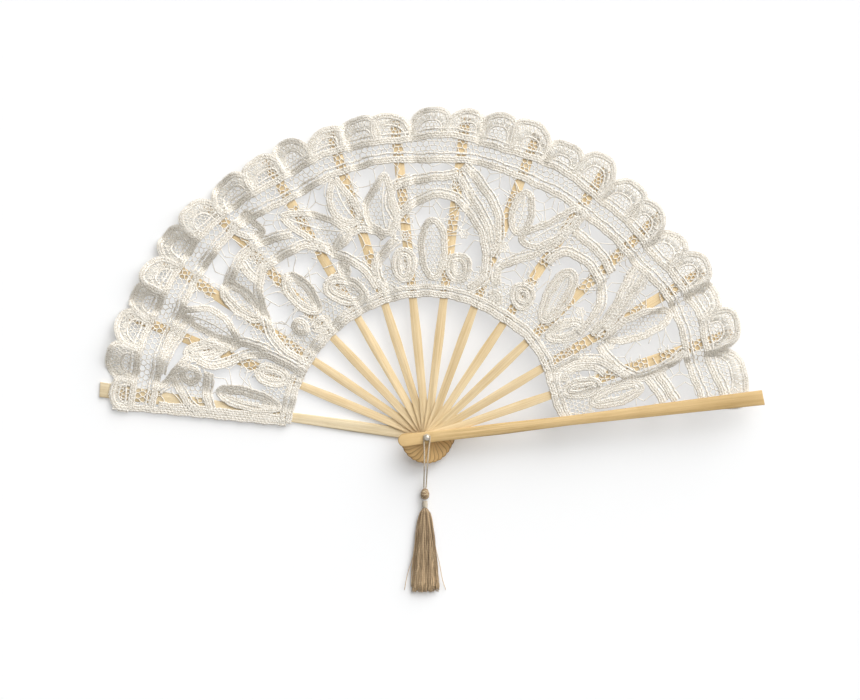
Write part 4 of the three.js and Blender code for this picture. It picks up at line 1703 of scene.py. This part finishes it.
    def motif(self, motif: Motif) -> None:
        """Lays one rosette or oval with its rings and filling.

        Args:
            motif: The motif.
        """
        pattern = self.pattern
        width = pattern.tape_width if motif.rings == 1 else pattern.ring_tape_width
        inset = width / 2
        outer = self.motif_ring(motif, inset)
        self.filled.append(outer)
        self.tape(outer, width, True)
        inner = outer
        for _ in range(motif.rings - 1):
            inset += width + pattern.tape_gap
            inner = self.motif_ring(motif, inset)
            self.tape(inner, width * pattern.inner_ring_share, True)
            self.ladder(outer, inner, pattern.motif_pitch)
        if motif.filling is Filling.NET:
            self.flat_net(inner, pattern.fine_cell, pattern.fine_width)
        elif motif.filling is Filling.WHEEL:
            self.wheel(inner)
        else:
            self.spokes(motif, inner)

    def wheel(self, ring: Array) -> None:
        """Lays the spokes and the small rings of a rosette's open middle.

        Args:
            ring: The ring that the wheel hangs in.
        """
        spokes, hoops_at = 10, (0.3, 0.62)
        size = self.pattern.spoke_width, self.pattern.thread_thickness
        centre = ring.mean(axis=0)
        rim = ring[:: max(len(ring) // spokes, 1)]
        for share in hoops_at:
            hoop = centre + (rim - centre) * share
            self.net.tie(hoop, np.roll(hoop, -1, axis=0), *size)
        self.net.tie(rim, centre + (rim - centre) * hoops_at[0], *size)

    def spokes(self, motif: Motif, ring: Array) -> None:
        """Lays close threads from an oval's ring to a cord down its middle.

        Args:
            motif: The oval.
            ring: Its innermost ring.
        """
        pattern = self.pattern
        gather, vein_share, points = 0.72, 0.8, 5
        foot, tip = from_photo((motif.foot, motif.tip))
        axis = (tip - foot) / np.linalg.norm(tip - foot)
        centre = (foot + tip) / 2
        along = (ring - centre) @ axis
        middle = centre + axis * (along[::2] * gather)[:, None]
        self.net.tie(ring[::2], middle, pattern.close_spoke_width, pattern.thread_thickness)
        places = np.linspace(along.min(), along.max(), points)[:, None] * vein_share
        self.net.lay(drawn_curve(centre + axis * places, self.STEP), pattern.fine_cord)

    def ladder(self, first: Array, second: Array, pitch: float, closed: bool = True) -> None:
        """Laces two lines together with a zigzag of threads.

        Args:
            first: One line, seen from above.
            second: The other line, running beside it.
            pitch: The distance between the threads, in mm.
            closed: Whether both lines come back to their starts.
        """
        count = max(int(run_lengths(first)[-1] / pitch), 4)
        shares = np.linspace(0, 1, count, endpoint=False)
        there = (shares * len(first)).astype(int)
        here = (shares * len(second)).astype(int)
        size = self.pattern.ladder_width, self.pattern.thread_thickness
        self.net.tie(first[there], second[here], *size)
        last = count if closed else count - 1
        self.net.tie(first[there][:last], second[np.roll(here, -1)][:last], *size)

    def petal(self, points: tuple[Pixel, ...]) -> None:
        """Lays one petal: its outline, its vein and its net.

        Args:
            points: The outline from the photograph, starting at the tip.
        """
        pattern = self.pattern
        corners = from_photo(points)
        outline = drawn_curve(corners, self.STEP, True)
        self.filled.append(outline)
        self.tape(outline, pattern.tape_width, True)
        centre = corners.mean(axis=0)
        tip, vein_from, vein_to, vein_points = corners[0], 0.1, 0.9, 5
        far = corners[np.argmax(np.linalg.norm(corners - tip, axis=1))]
        shares = np.linspace(vein_from, vein_to, vein_points)[:, None]
        bow = np.sin(math.pi * shares) * (centre - (tip + far) / 2)
        vein = drawn_curve(tip + (far - tip) * shares + bow, self.STEP)
        self.net.lay(vein, pattern.petal_vein)
        self.flat_net(outline, pattern.petal_cell, pattern.fine_width)

    def spider(self, place: Pixel) -> None:
        """Lays one small darned wheel and the threads that hold it.

        Args:
            place: Its place in the photograph.
        """
        pattern = self.pattern
        corners, spoke_every, bride_every, stray = 30, 3, 4, 0.3
        centre = from_photo((place,))[0]
        turns = np.linspace(0, math.tau, corners, endpoint=False)
        round_way = np.column_stack([np.cos(turns), np.sin(turns)])
        lobes = pattern.spider_radius + pattern.spider_lobe * np.cos(turns * pattern.spider_lobes)
        inner = centre + round_way * pattern.spider_core
        outer = centre + round_way * lobes[:, None]
        self.net.lay(inner, pattern.fine_cord, True)
        self.net.lay(outer, pattern.spider_rim, True)
        size = pattern.spoke_width, pattern.thread_thickness
        self.net.tie(inner[::spoke_every], outer[::spoke_every], *size)
        for turn, start in zip(turns[::bride_every], outer[::bride_every]):
            self.bride(start, turn + self.chance.uniform(-stray, stray), pattern.spider_bride)

    def bride(self, start: Array, turn: float, longest: float) -> None:
        """Lays one connecting thread from a point to the next tape in a direction.

        Args:
            start: Where the thread begins, seen from above.
            turn: The direction in radians.
            longest: How far it may reach, in mm.
        """
        pattern = self.pattern
        way = np.array([math.cos(turn), math.sin(turn)])
        for reach in np.arange(pattern.bride_start, longest, pattern.bride_step):
            end = start + way * reach
            if self.to_tape(end) < pattern.bride_end:
                bow = self.chance.uniform(*pattern.bride_bow) * reach
                middle = (start + end) / 2 + np.array([-way[1], way[0]]) * bow
                line = drawn_curve(np.array([start, middle, end]), self.THREAD_STEP)
                self.net.lay(line, pattern.bride)
                return

    def to_tape(self, place: Array) -> float:
        """How far a place seen from above lies from the nearest tape's middle, in mm."""
        return self.near.find((*place, 0))[2]

    def find_tapes(self) -> None:
        """Sorts the points of all the tapes by place, for the threads that look for them."""
        places = np.vstack(self.lines)
        self.near = KDTree(len(places))
        for number, (x, y) in enumerate(places):
            self.near.insert((x, y, 0), number)
        self.near.balance()

    def open_ground(self) -> None:
        """Joins the tapes across the open ground with spiders and forked threads."""
        pattern = self.pattern
        self.find_tapes()
        for place in pattern.spiders:
            self.spider(place)
        for radius in np.arange(*pattern.fork_radii, pattern.fork_rows):
            step = math.degrees(pattern.fork_pitch / radius)
            for angle in np.arange(*pattern.fork_angles, step):
                self.fork(angle, radius, step)

    def fork(self, angle: float, radius: float, step: float) -> None:
        """Lays one forked thread, if its place is open ground.

        Args:
            angle: The place's angle, in degrees.
            radius: Its radius, in mm.
            step: The angle from one such thread to the next.
        """
        pattern = self.pattern
        angle += self.chance.uniform(*pattern.fork_aside) * step
        radius += self.chance.uniform(*pattern.fork_outward)
        start = np.array(plane_point(angle, radius))
        first = self.chance.uniform(0, math.tau)
        taken = any(inside(start[None], outline)[0] for outline in self.filled)
        if taken or self.to_tape(start) < pattern.fork_room:
            return
        for arm in range(pattern.fork_arms):
            turn = first + arm * math.tau / pattern.fork_arms
            self.bride(start, turn, pattern.forked_bride)

    def six_sided(self, low: Array, high: Array, cell: float) -> tuple[Array, Array]:
        """The threads of a hand-made six-sided net over a rectangle.

        Args:
            low: The rectangle's lower left corner, in mm.
            high: Its upper right corner.
            cell: The length of one side of a mesh of the net.

        Returns:
            The start and the end of each thread.
        """
        across, up = cell * math.sqrt(3), cell * 1.5
        columns = int((high[0] - low[0]) / across) + 3
        rows = int((high[1] - low[1]) / up) + 3
        row, column = np.mgrid[0:rows, 0:columns]
        foot = np.stack([low[0] + (column + (row % 2) / 2) * across, low[1] + row * up], axis=-1)
        uneven = self.pattern.net_unevenness
        foot = foot + self.chance.uniform(-uneven, uneven, foot.shape) * cell
        head = foot + [0, cell] + self.chance.uniform(-uneven, uneven, foot.shape) * cell
        odd = (row[:-1] % 2).astype(bool)[..., None]
        upper = foot[1:]
        left = np.where(odd, upper, np.roll(upper, 1, axis=1))
        right = np.where(odd, np.roll(upper, -1, axis=1), upper)
        edge = np.ones(head[:-1].shape[:2], bool)
        edge[:, 0] = edge[:, -1] = False
        starts = np.vstack([foot.reshape(-1, 2), head[:-1][edge], head[:-1][edge]])
        ends = np.vstack([head.reshape(-1, 2), left[edge], right[edge]])
        return starts, ends

    def flat_net(self, outline: Array, cell: float, width: float) -> None:
        """Fills an outline with six-sided net.

        Args:
            outline: The outline's corners seen from above.
            cell: The length of one side of a mesh of the net, in mm.
            width: The threads' width, in mm.
        """
        starts, ends = self.six_sided(outline.min(0) - cell, outline.max(0) + cell, cell)
        keep = inside((starts + ends) / 2, outline)
        self.net.tie(starts[keep], ends[keep], width, width * self.pattern.net_flatness)
        self.filled.append(outline)

    def bent_net(self, outline: Array, cell: float) -> None:
        """Fills an outline round the pivot with net whose rows follow the rim.

        Args:
            outline: The outline's angles and radii.
            cell: The length of one side of a mesh of the net, in mm.
        """
        angles, radii = outline[:, 0], outline[:, 1]
        middle = angles.mean()
        scale = math.radians(1) * radii.mean()
        flat = np.column_stack([(middle - angles) * scale, radii])
        starts, ends = self.six_sided(flat.min(0) - cell, flat.max(0) + cell, cell)
        keep = inside((starts + ends) / 2, flat)
        bent = []
        for points in (starts[keep], ends[keep]):
            turn = np.radians(middle - points[:, 0] / scale)
            bent.append(np.column_stack([np.cos(turn), np.sin(turn)]) * points[:, 1:])
        width = self.pattern.net_width
        self.net.tie(*bent, width, width * self.pattern.net_flatness)

    def rib_strips(self) -> None:
        """Lays the strips of net that are glued to the ribs, with bare windows between them."""
        pattern = self.pattern
        for rib_angle in self.layout.rib_angles[1:-1]:
            radius = self.chance.uniform(*pattern.strip_start)
            while radius < pattern.strip_end:
                longest = pattern.strip_end + pattern.strip_overshoot
                end = min(radius + self.chance.uniform(*pattern.strip_length), longest)
                near, far = (math.degrees(pattern.strip_half_width / r) for r in (radius, end))
                slant = self.chance.uniform(*pattern.strip_slant)
                self.bent_net(np.array([
                    (rib_angle + near, radius), (rib_angle + far, end),
                    (rib_angle - far, end + slant), (rib_angle - near, radius + slant),
                ]), pattern.net_cell)
                radius = end + self.chance.uniform(*pattern.strip_window)

    def fillings(self) -> None:
        """Fills the bands between the arches with net."""
        pattern = self.pattern
        bands = [
            pattern.arches[first][part] + pattern.arches[second][other][::-1]
            for first, part, second, other in pattern.net_bands
        ]
        for outline in [*bands, *pattern.net_patches]:
            self.flat_net(from_photo(outline), pattern.filling_cell, pattern.net_width)

    def weave(self) -> None:
        """Lays the whole lace."""
        self.edges_and_rings()
        for points in self.pattern.arches:
            line = drawn_curve(from_photo(points), self.STEP)
            self.companion(self.tape(line, self.pattern.tape_width))
        for points in self.pattern.petals:
            self.petal(points)
        for motif in self.pattern.ovals + self.pattern.rosettes:
            self.motif(motif)
        self.scallop_rim()
        self.rib_strips()
        self.fillings()
        self.open_ground()

    def hang(self, gap: int) -> list[Piece]:
        """Makes one panel's tape and net.

        Args:
            gap: The number of the opening, counted from the rear guard.

        Returns:
            The tape piece and the net piece.
        """
        layout = self.layout
        number = f"{gap + 1:02d}"
        tape = self.tapes.stores[gap].piece(f"leaf_tape_{number}", LACE_TAPE)
        net = self.net.stores[gap].piece(f"leaf_net_{number}", LACE_THREAD)
        first, second = layout.body(gap), layout.body(gap + 1)
        for piece in (tape, net):
            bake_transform(piece)
        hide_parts(f"leaf_panel_{number}")
        ribs = [bpy.data.objects[f"{layout.node(rib)}_carved"] for rib in (gap, gap + 1)]
        return [tape, net]

    def build(self) -> None:
        """Weaves the lace and hangs every panel."""
        self.weave()
        for gap in range(self.layout.gap_count):
            for piece in self.hang(gap):
                LOG.info("%s: %d faces", piece.name, len(piece.data.polygons))


# The sticks and the rivet


@dataclass
class BambooFrame:
    """The two guards and the twelve sticks, eased along their edges."""

    layout: FanLayout
    edge: float = 0.14
    guard_edge: float = 0.3
    weld: float = 0.005
    flat_angle: float = 1
    sharp_angle: float = 40
    smooth_angle: float = 35
    grain_step: Pair = (83, 29)

    def build(self) -> None:
        """Makes every rib."""
        count = self.layout.gap_count
        for rib in range(count + 1):
            guard = rib in (0, count)
            self.rib(self.layout.node(rib), rib, guard)

    def rib(self, node: str, rib: int, guard: bool) -> None:
        """Makes one rib from a copy of its CAD shape.

        Args:
            node: The CAD node that it stands for.
            rib: Its number from the rear guard.
            guard: Whether it is one of the thick outer ribs.
        """
        mesh = frame["nodes"][node].data.copy()
        piece = bpy.data.objects.new(f"{node}_carved", mesh)
        bpy.context.scene.collection.objects.link(piece)
        make_active(piece)
        bpy.ops.object.mode_set(mode="EDIT")
        bpy.ops.mesh.select_all(action="SELECT")
        bpy.ops.mesh.remove_doubles(threshold=self.weld * MM)
        bpy.ops.mesh.dissolve_limited(angle_limit=math.radians(self.flat_angle))
        bpy.ops.object.mode_set(mode="OBJECT")
        bevel = piece.modifiers.new("eased_edges", "BEVEL")
        bevel.width = (self.guard_edge if guard else self.edge) * MM
        bevel.segments = 2
        bevel.limit_method = "ANGLE"
        bevel.angle_limit = math.radians(self.sharp_angle)
        bevel.use_clamp_overlap = True
        apply_modifiers(piece)
        bpy.ops.object.shade_smooth_by_angle(angle=math.radians(self.smooth_angle))
        finish = {0: REAR_BAMBOO, self.layout.gap_count: GUARD_BAMBOO}.get(rib, STICK_BAMBOO)
        settle(piece, f"{node}_carved", finish)
        self.mark_grain(piece, rib)
        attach(piece, self.layout.body(rib))
        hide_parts(node)
        LOG.info("%s: %d faces", piece.name, len(piece.data.polygons))

    def mark_grain(self, piece: Piece, rib: int) -> None:
        """Stores how far each corner lies along and across its rib, in mm, for the fibres.

        Args:
            piece: The rib.
            rib: Its number, which sets it apart from its neighbours.
        """
        turn = math.radians(self.layout.rib_angles[rib])
        count = len(piece.data.vertices)
        corners = np.zeros(count * 3)
        piece.data.vertices.foreach_get("co", corners)
        corners = corners.reshape(-1, 3) / MM
        along = corners[:, 0] * math.cos(turn) + corners[:, 1] * math.sin(turn)
        across = corners[:, 1] * math.cos(turn) - corners[:, 0] * math.sin(turn)
        place = np.column_stack([along, across, corners[:, 2]])
        apart = [step * rib for step in self.grain_step]
        for name, values in (("rib_place", place), ("grain", place + [*apart, 0])):
            attribute = piece.data.attributes.new(name, "FLOAT_VECTOR", "POINT")
            attribute.data.foreach_set("vector", values.ravel())


@dataclass
class Rivet:
    """The steel pin through all the heads, with its domed head and its washer."""

    layout: FanLayout
    shank_radius: float = 1
    dome_radius: float = 1.9
    dome_height: float = 1.5
    dome_edge: float = 0.1
    dome_rim: float = 0.25
    dome_rings: tuple[float, ...] = (0.3, 0.52, 0.7, 0.84, 0.93, 0.985)
    head_gap: float = 1.5
    tail_radius: float = 1.6
    tail_height: float = 0.4
    tail_edge: Pair = (0.15, 0.12)

    def profile(self) -> list[Pair]:
        """The pin's outline, from its tail up to the top of the dome, in mm."""
        inward, up = self.tail_edge
        dome_bottom = self.layout.stack_top + self.head_gap
        shoulder = dome_bottom + self.dome_rim
        rise = self.dome_height - self.dome_rim
        outline = [
            (self.tail_radius - inward, 0), (self.tail_radius, up),
            (self.tail_radius, self.tail_height), (self.shank_radius, self.tail_height),
            (self.shank_radius, dome_bottom), (self.dome_radius - self.dome_edge, dome_bottom),
            (self.dome_radius, dome_bottom + self.dome_edge), (self.dome_radius, shoulder),
        ]
        for share in self.dome_rings:
            radius = self.dome_radius * math.cos(math.asin(share))
            outline.append((radius, shoulder + rise * share))
        return outline

    def build(self) -> None:
        """Makes the pin and gives the washer its steel."""
        pin = settle(turned(self.profile()), "rivet_pin", SteelFinish())
        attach(pin, "base")
        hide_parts("rivet")
        for place in frame["nodes"]["rivet_washer"].material_slots:
            place.material = SteelFinish().material()
        LOG.info("rivet_pin: %d faces", len(pin.data.polygons))


# The tassel


@dataclass
class Tassel:
    """The tassel on its doubled cord, lying on the table below the pivot."""

    layout: FanLayout
    lean: float = -1.3
    cord_diameter: float = 0.9
    cord_clearance: float = 0.3
    cord_step: float = 0.25
    cord_sides: int = 14
    ply_depth: float = 0.14
    ply_turn: float = 1.9
    loop_radius: float = 1.95
    bead_at: float = 32.8
    bead_length: float = 7.6
    bead_radius: float = 2.85
    bead_rings: tuple[float, ...] = (
        -0.97, -0.88, -0.72, -0.5, -0.25, 0, 0.25, 0.5, 0.72, 0.88, 0.97,
    )
    winding_count: int = 26
    winding_radius: float = 0.24
    winding_sides: int = 6
    ring_corners: int = 40
    pale_every: int = 5
    gap: float = 0.3
    binding_length: float = 4.4
    binding_radius: float = 1.75
    binding_turns: int = 8
    binding_thread: float = 0.3
    binding_sides: int = 8
    binding_shade: float = 0.2
    skirt_length: float = 54
    skirt_neck: Pair = (1.1, 1.3)
    skirt_spread: Pair = (8, 1)
    skirt_flare: float = 0.45
    threads: int = 330
    thread_radius: float = 0.21
    thread_sides: int = 6
    thread_length: Range = (0.92, 0.995)
    thread_floor: float = 0.3
    sink: float = 0.35
    sway: float = 0.45
    sway_waves: Range = (6, 13)
    bob: float = 0.2
    bob_waves: float = 9
    stray_reach: float = 13.2
    stray_turns: tuple[float, ...] = (0.0, math.pi)
    stray_from: float = 0.55
    seed: int = 11

    def build(self) -> None:
        """Makes the cord, the bead, the binding and the skirt."""
        skirt, binding = self.skirt(), self.binding()
        bead, wraps = self.bead()
        for piece in (skirt, binding, bead, wraps):
            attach(piece, "tassel")
            LOG.info("%s: %d faces", piece.name, len(piece.data.polygons))
        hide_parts("tassel_skirt")
        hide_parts("tassel_binding")
        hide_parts("tassel_bead")
        self.cord([bead, wraps, binding])

    def route(self) -> list[Point]:
        """The cord's way from the bead, up round the rivet and back, in mm."""
        radius = self.loop_radius
        top = self.layout.stack_top + self.cord_clearance + self.cord_diameter / 2
        strand = [
            (0.7, self.gap - self.bead_at, self.bead_radius), (0.8, -29, 3.3), (0.85, -25, 6),
            (0.9, -22, 11.5), (0.95, -19.4, top - 0.9), (1, -16, top), (1.35, -8, top),
            (radius, 0, top),
        ]

        def lay(side: int, point: Point) -> Point:
            """One point of a strand, leaning with the tassel."""
            x, y, z = point
            return side * x + self.lean * y / -self.bead_at, y, z

        left = [lay(-1, point) for point in strand]
        turn = [(*plane_point(angle, radius), top) for angle in (135, 90, 45)]
        right = [lay(1, point) for point in reversed(strand)]
        return left + turn + right

    def cord(self, with_pieces: list[Piece]) -> None:
        """Makes the doubled cord.

        Args:
            with_pieces: The pieces that hang on it. Not used.
        """
        line = drawn_curve(np.array(self.route()), self.cord_step)
        along = unit(np.gradient(line, axis=0))
        lengths = np.arange(len(line)) * self.cord_step
        turns = np.linspace(0, math.tau, self.cord_sides, endpoint=False)
        plies = np.abs(np.cos(turns[None] - lengths[:, None] * self.ply_turn))
        lobes = self.cord_diameter / 2 * (1 - self.ply_depth + self.ply_depth * plies)
        upward = np.array([0, 0, 1.0])
        store = MeshStore()
        corners = hoops(line, along, upward, turns, lobes[..., None])
        store.sweep(corners, turns / math.tau, lengths, False, PLAIN_SHADE)
        piece = store.piece("tassel_cord_twisted", CORD_THREAD)
        face_out(piece)
        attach(piece, "tassel")
        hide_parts("tassel_cord")

    def lying(self, piece: Piece, start: float) -> None:
        """Lays a piece turned up the Z axis down on the table, start mm below the pivot."""
        piece.rotation_euler = (math.radians(90), 0, 0)
        piece.location = (self.lean * MM, -start * MM, self.bead_radius * MM)

    def bead(self) -> tuple[Piece, Piece]:
        """Makes the knotted bead and the pale threads wound over its top."""
        half = self.bead_length / 2
        inner_radius, roundness, height_share = self.bead_radius - 0.32, 0.8, 0.96
        profile = [
            (inner_radius * math.sqrt(1 - share * share) ** roundness,
             half + half * share * height_share)
            for share in self.bead_rings
        ]
        core = turned(profile, self.ring_corners)
        self.lying(core, self.bead_at)
        settle(core, "tassel_bead_core", KNOT_THREAD)
        wound, pale = MeshStore(), MeshStore()
        for number in range(self.winding_count):
            store = pale if number % self.pale_every == 0 else wound
            share = number / self.winding_count
            self.tube(
                store, self.winding(number), self.winding_radius, self.winding_sides, True, share
            )
        windings = wound.piece("tassel_bead_knot", KNOT_THREAD)
        threads = pale.piece("tassel_bead_pale_threads", GOLD_THREAD)
        for piece in (windings, threads):
            face_out(piece)
        joined([core, windings]).name = "tassel_bead_knotted"
        return core, threads

    def winding(self, number: int) -> Array:
        """The line of one thread wound aslant over the bead.

        Args:
            number: The thread's number, which sets its slant.

        Returns:
            The line's points, in mm.
        """
        count = self.winding_count
        steepness, depth, swell, least, reach = 1.25, 0.9, 0.42, 0.05, 0.62
        half = self.bead_length / 2
        centre = np.array([self.lean, -self.bead_at - half, self.bead_radius])
        turns = np.linspace(0, math.tau, self.ring_corners, endpoint=False)
        across = np.column_stack([np.cos(turns), np.zeros(len(turns)), np.sin(turns)])
        slant = math.pi * number / count
        tilt = math.sin(math.pi * (number * 7 % count) / count) * steepness
        lean = np.cos(turns - slant * 2) * tilt * depth
        shrink = np.sqrt(np.maximum(1 - lean**2 * swell, least))
        line = centre + across * (self.bead_radius - self.gap) * shrink[:, None]
        line[:, 1] = centre[1] + lean * half * reach
        return line

    def binding(self) -> Piece:
        """Makes the close winding of bright thread round the tassel's neck."""
        start = self.bead_at + self.bead_length + self.gap
        thread = self.binding_thread
        points_a_turn, inset, swell = 22, 0.28, 0.12
        share = np.linspace(0, 1, self.binding_turns * points_a_turn)
        angle = share * self.binding_turns * math.tau
        radius = self.binding_radius - inset - swell * np.cos(share * math.tau)
        line = np.column_stack([
            self.lean + np.cos(angle) * radius,
            -start - thread - share * (self.binding_length - 2 * thread),
            self.bead_radius + np.sin(angle) * radius,
        ])
        store = MeshStore()
        self.tube(store, line, thread, self.binding_sides, False, self.binding_shade)
        core_radius, end_radius, taper, sides = 1.35, 1.2, 0.4, 24
        core = turned([
            (end_radius, 0), (core_radius, taper),
            (core_radius, self.binding_length - taper), (end_radius, self.binding_length),
        ], sides)
        piece = store.piece("tassel_binding_wound", BINDING_THREAD)
        face_out(piece)
        self.lying(core, start)
        settle(core, "tassel_binding_core", BINDING_THREAD)
        return joined([piece, core])

    def skirt(self) -> Piece:
        """Makes the skirt of loose threads that spreads over the table."""
        chance = np.random.default_rng(self.seed)
        store = MeshStore()
        for number in range(self.threads):
            line = self.skirt_thread(chance, number)
            shade = chance.uniform(0, 1)
            self.tube(store, line, self.thread_radius, self.thread_sides, False, shade)
        piece = store.piece("tassel_skirt_threads", SKIRT_THREAD)
        face_out(piece)
        return piece

    def skirt_thread(self, chance: np.random.Generator, number: int) -> Array:
        """The line of one thread of the skirt.

        Args:
            chance: The skirt's own chance.
            number: The thread's number. The first ones stray to the sides.

        Returns:
            The line's points, in mm.
        """
        start = self.bead_at + self.bead_length + 2 * self.gap + self.binding_length
        turn, out = chance.uniform(0, math.tau), math.sqrt(chance.uniform(0, 1))
        stray = number < len(self.stray_turns)
        if stray:
            turn, out = self.stray_turns[number], 1.0
        length = self.skirt_length * chance.uniform(*self.thread_length)
        points = 18
        shares = np.linspace(0, 1, points)
        spread = shares**self.skirt_flare
        width = self.skirt_neck[0] + self.skirt_spread[0] * spread
        if stray:
            last = np.clip((shares - self.stray_from) / (1 - self.stray_from), 0, 1)
            width = width + (self.stray_reach - width[-1]) * last
        height = self.skirt_neck[1] + self.skirt_spread[1] * spread
        wave = chance.uniform(0, math.tau, 2)
        waves = chance.uniform(*self.sway_waves)
        sway = self.sway * np.sin(shares * waves + wave[0]) * spread
        bob = self.bob * np.sin(shares * self.bob_waves + wave[1]) * spread
        floor = self.thread_floor
        x = self.lean + math.cos(turn) * out * width + sway
        z = self.bead_radius + math.sin(turn) * out * height + bob
        z = floor + (z - floor) * (1 - self.sink * spread)
        return np.column_stack([x, -start - shares * length, np.maximum(z, floor)])

    @staticmethod
    def tube(
        store: MeshStore, line: Array, radius: float, sides: int, closed: bool, shade: float
    ) -> None:
        """Adds a round thread along a line in space.

        Args:
            store: The store that takes it.
            line: The thread's line, in mm.
            radius: Its radius, in mm.
            sides: How many sides it has, an even number.
            closed: Whether it comes back to its start.
            shade: Its own tone, 0 to 1.
        """
        along = unit(steps_along(line, True) if closed else np.gradient(line, axis=0))
        steep = np.abs(along[:, 2]) > STEEP
        guide = np.where(steep[:, None], [0.0, 1.0, 0.0], [0.0, 0.0, 1.0])
        turns = np.linspace(0, math.tau, sides, endpoint=False)
        corners = hoops(line, along, guide, turns, radius)
        store.sweep(corners, turns / math.tau, run_lengths(line), closed, shade)


# The table, the lights and the camera


@dataclass(frozen=True)
class Lamp:
    """A wide lamp far away: its power, how wide it looks and where it hangs, in degrees."""

    name: str
    power: float
    softness: float
    turn: float
    height: float


@dataclass
class Studio:
    """A white table under soft light from the upper right, seen from straight above."""

    picture_width: float = 545
    view_centre: Pair = (1.9, 55.2)
    lens: float = 85
    sensor: float = 36
    table_size: float = 6000
    mid_height: float = 8
    sky: float = 0.29
    room_colour: Colour = (1.0, 0.975, 0.93, 1.0)
    table_tone: Colour = (0.975, 0.985, 1.0, 1.0)
    table_glow: float = 0.02
    # Painted light: a cool glow under the fan, over a darker tone, makes the fan's shadow paler
    # there
    painted_glow_under_fan: float = 0.53
    tone_under_painted_glow: Colour = (0.5, 0.49, 0.475, 1.0)
    painted_glow_colour: Colour = (0.94, 0.965, 1.0, 1.0)
    fan_rim: Range = (213, 187)
    fan_foot: Range = (-6, 22)
    lamps: tuple[Lamp, ...] = (
        Lamp("window_light", 2.65, 85, 50, 38),
        Lamp("low_window_light", 1.4, 40, 58, 27),
    )

    def build(self) -> None:
        """Makes the camera, the lights and the table."""
        self.camera()
        self.world()
        for lamp in self.lamps:
            self.light(lamp)
        self.table()

    def camera(self) -> None:
        """Sets the camera straight above the fan."""
        data = bpy.data.cameras.new("camera_above")
        data.lens = self.lens
        data.sensor_width = self.sensor
        camera = bpy.data.objects.new("camera_above", data)
        distance = self.picture_width / 2 / (self.sensor / 2 / self.lens)
        camera.location = Vector((*self.view_centre, distance + self.mid_height)) * MM
        bpy.context.scene.collection.objects.link(camera)
        bpy.context.scene.camera = camera
        bpy.context.scene.view_settings.view_transform = "Standard"

    def world(self) -> None:
        """Fills the room with even light, and shows it white behind the table."""
        world = bpy.data.worlds.new("white_room")
        world.use_nodes = True
        pen = NodePen(world.node_tree)
        background = world.node_tree.nodes["Background"]
        seen = self.seen(pen)
        pen.feed(background.inputs["Strength"], pen.span(seen, 0, 1, self.sky, 1.0))
        pen.feed(background.inputs["Color"], pen.blend(seen, self.room_colour, WHITE))
        bpy.context.scene.world = world

    @staticmethod
    def seen(pen: NodePen) -> Socket:
        """Tells the rays that end in the picture, straight or by a mirror, from the others.

        Args:
            pen: The pen of the world or of a material.

        Returns:
            The output, 1 for such a ray.
        """
        path = pen.add("ShaderNodeLightPath")
        seen = pen.math("MAXIMUM", path.outputs["Is Camera Ray"], path.outputs["Is Glossy Ray"])
        return pen.math("MAXIMUM", seen, path.outputs["Is Transmission Ray"])

    @staticmethod
    def light(lamp: Lamp) -> None:
        """Hangs one soft lamp.

        Args:
            lamp: The lamp.
        """
        data = bpy.data.lights.new(lamp.name, "SUN")
        data.energy = lamp.power
        data.angle = math.radians(lamp.softness)
        light = bpy.data.objects.new(lamp.name, data)
        turn, height = math.radians(lamp.turn), math.radians(lamp.height)
        flat = math.cos(height)
        to_lamp = Vector((flat * math.cos(turn), flat * math.sin(turn), math.sin(height)))
        light.rotation_euler = to_lamp.to_track_quat("Z", "Y").to_euler()
        bpy.context.scene.collection.objects.link(light)

    def table(self) -> None:
        """Lays the white table, which glows with painted light under the fan."""
        deselect_all()
        bpy.ops.mesh.primitive_plane_add(size=self.table_size * MM, location=(0, 0, 0))
        table = bpy.context.object
        table.name = "white_table"
        material = bpy.data.materials.new("white_table")
        material.use_nodes = True
        pen = NodePen(material.node_tree)
        surface = material.node_tree.nodes["Principled BSDF"]
        surface.inputs["Roughness"].default_value = 1
        surface.inputs["Specular IOR Level"].default_value = 0
        seen = self.seen(pen)
        # Painted light: under the fan the table glows cool, so its shadow there is paler and
        # bluer
        painted_glow_share = pen.times(self.painted_glow_mask(pen), seen)
        tone = pen.blend(painted_glow_share, self.table_tone, self.tone_under_painted_glow)
        pen.feed(surface.inputs["Base Color"], tone)
        pen.feed(surface.inputs["Emission Color"], pen.blend(painted_glow_share, WHITE, self.painted_glow_colour))
        glow = pen.span(painted_glow_share, 0, 1, self.table_glow, self.painted_glow_under_fan)
        pen.feed(surface.inputs["Emission Strength"], pen.times(glow, seen))
        table.data.materials.append(material)

    def painted_glow_mask(self, pen: NodePen) -> Socket:
        """Finds how far each place of the table lies under the fan, where painted light makes its
        shadow paler.

        Args:
            pen: The table material's pen.

        Returns:
            The share, 0 outside the fan and 1 under it.
        """
        place = pen.stretch(pen.place(), (1 / MM, 1 / MM, 1 / MM))
        length = pen.add("ShaderNodeVectorMath", operation="LENGTH")
        pen.feed(length.inputs[0], place)
        _, up_the_table = pen.split(place)
        within = pen.span(length.outputs["Value"], *self.fan_rim)
        above = pen.span(up_the_table, *self.fan_foot)
        return pen.times(within, above)


def main() -> None:
    """Builds the scene."""
    logging.basicConfig(level=logging.INFO, format="%(name)s %(message)s")
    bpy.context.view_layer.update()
    Studio().build()
    Tassel(LAYOUT).build()
    Rivet(LAYOUT).build()
    BambooFrame(LAYOUT).build()
    LaceLeaf(LAYOUT, LacePattern()).build()
    bpy.context.view_layer.update()


if __name__ == "__main__":
    main()
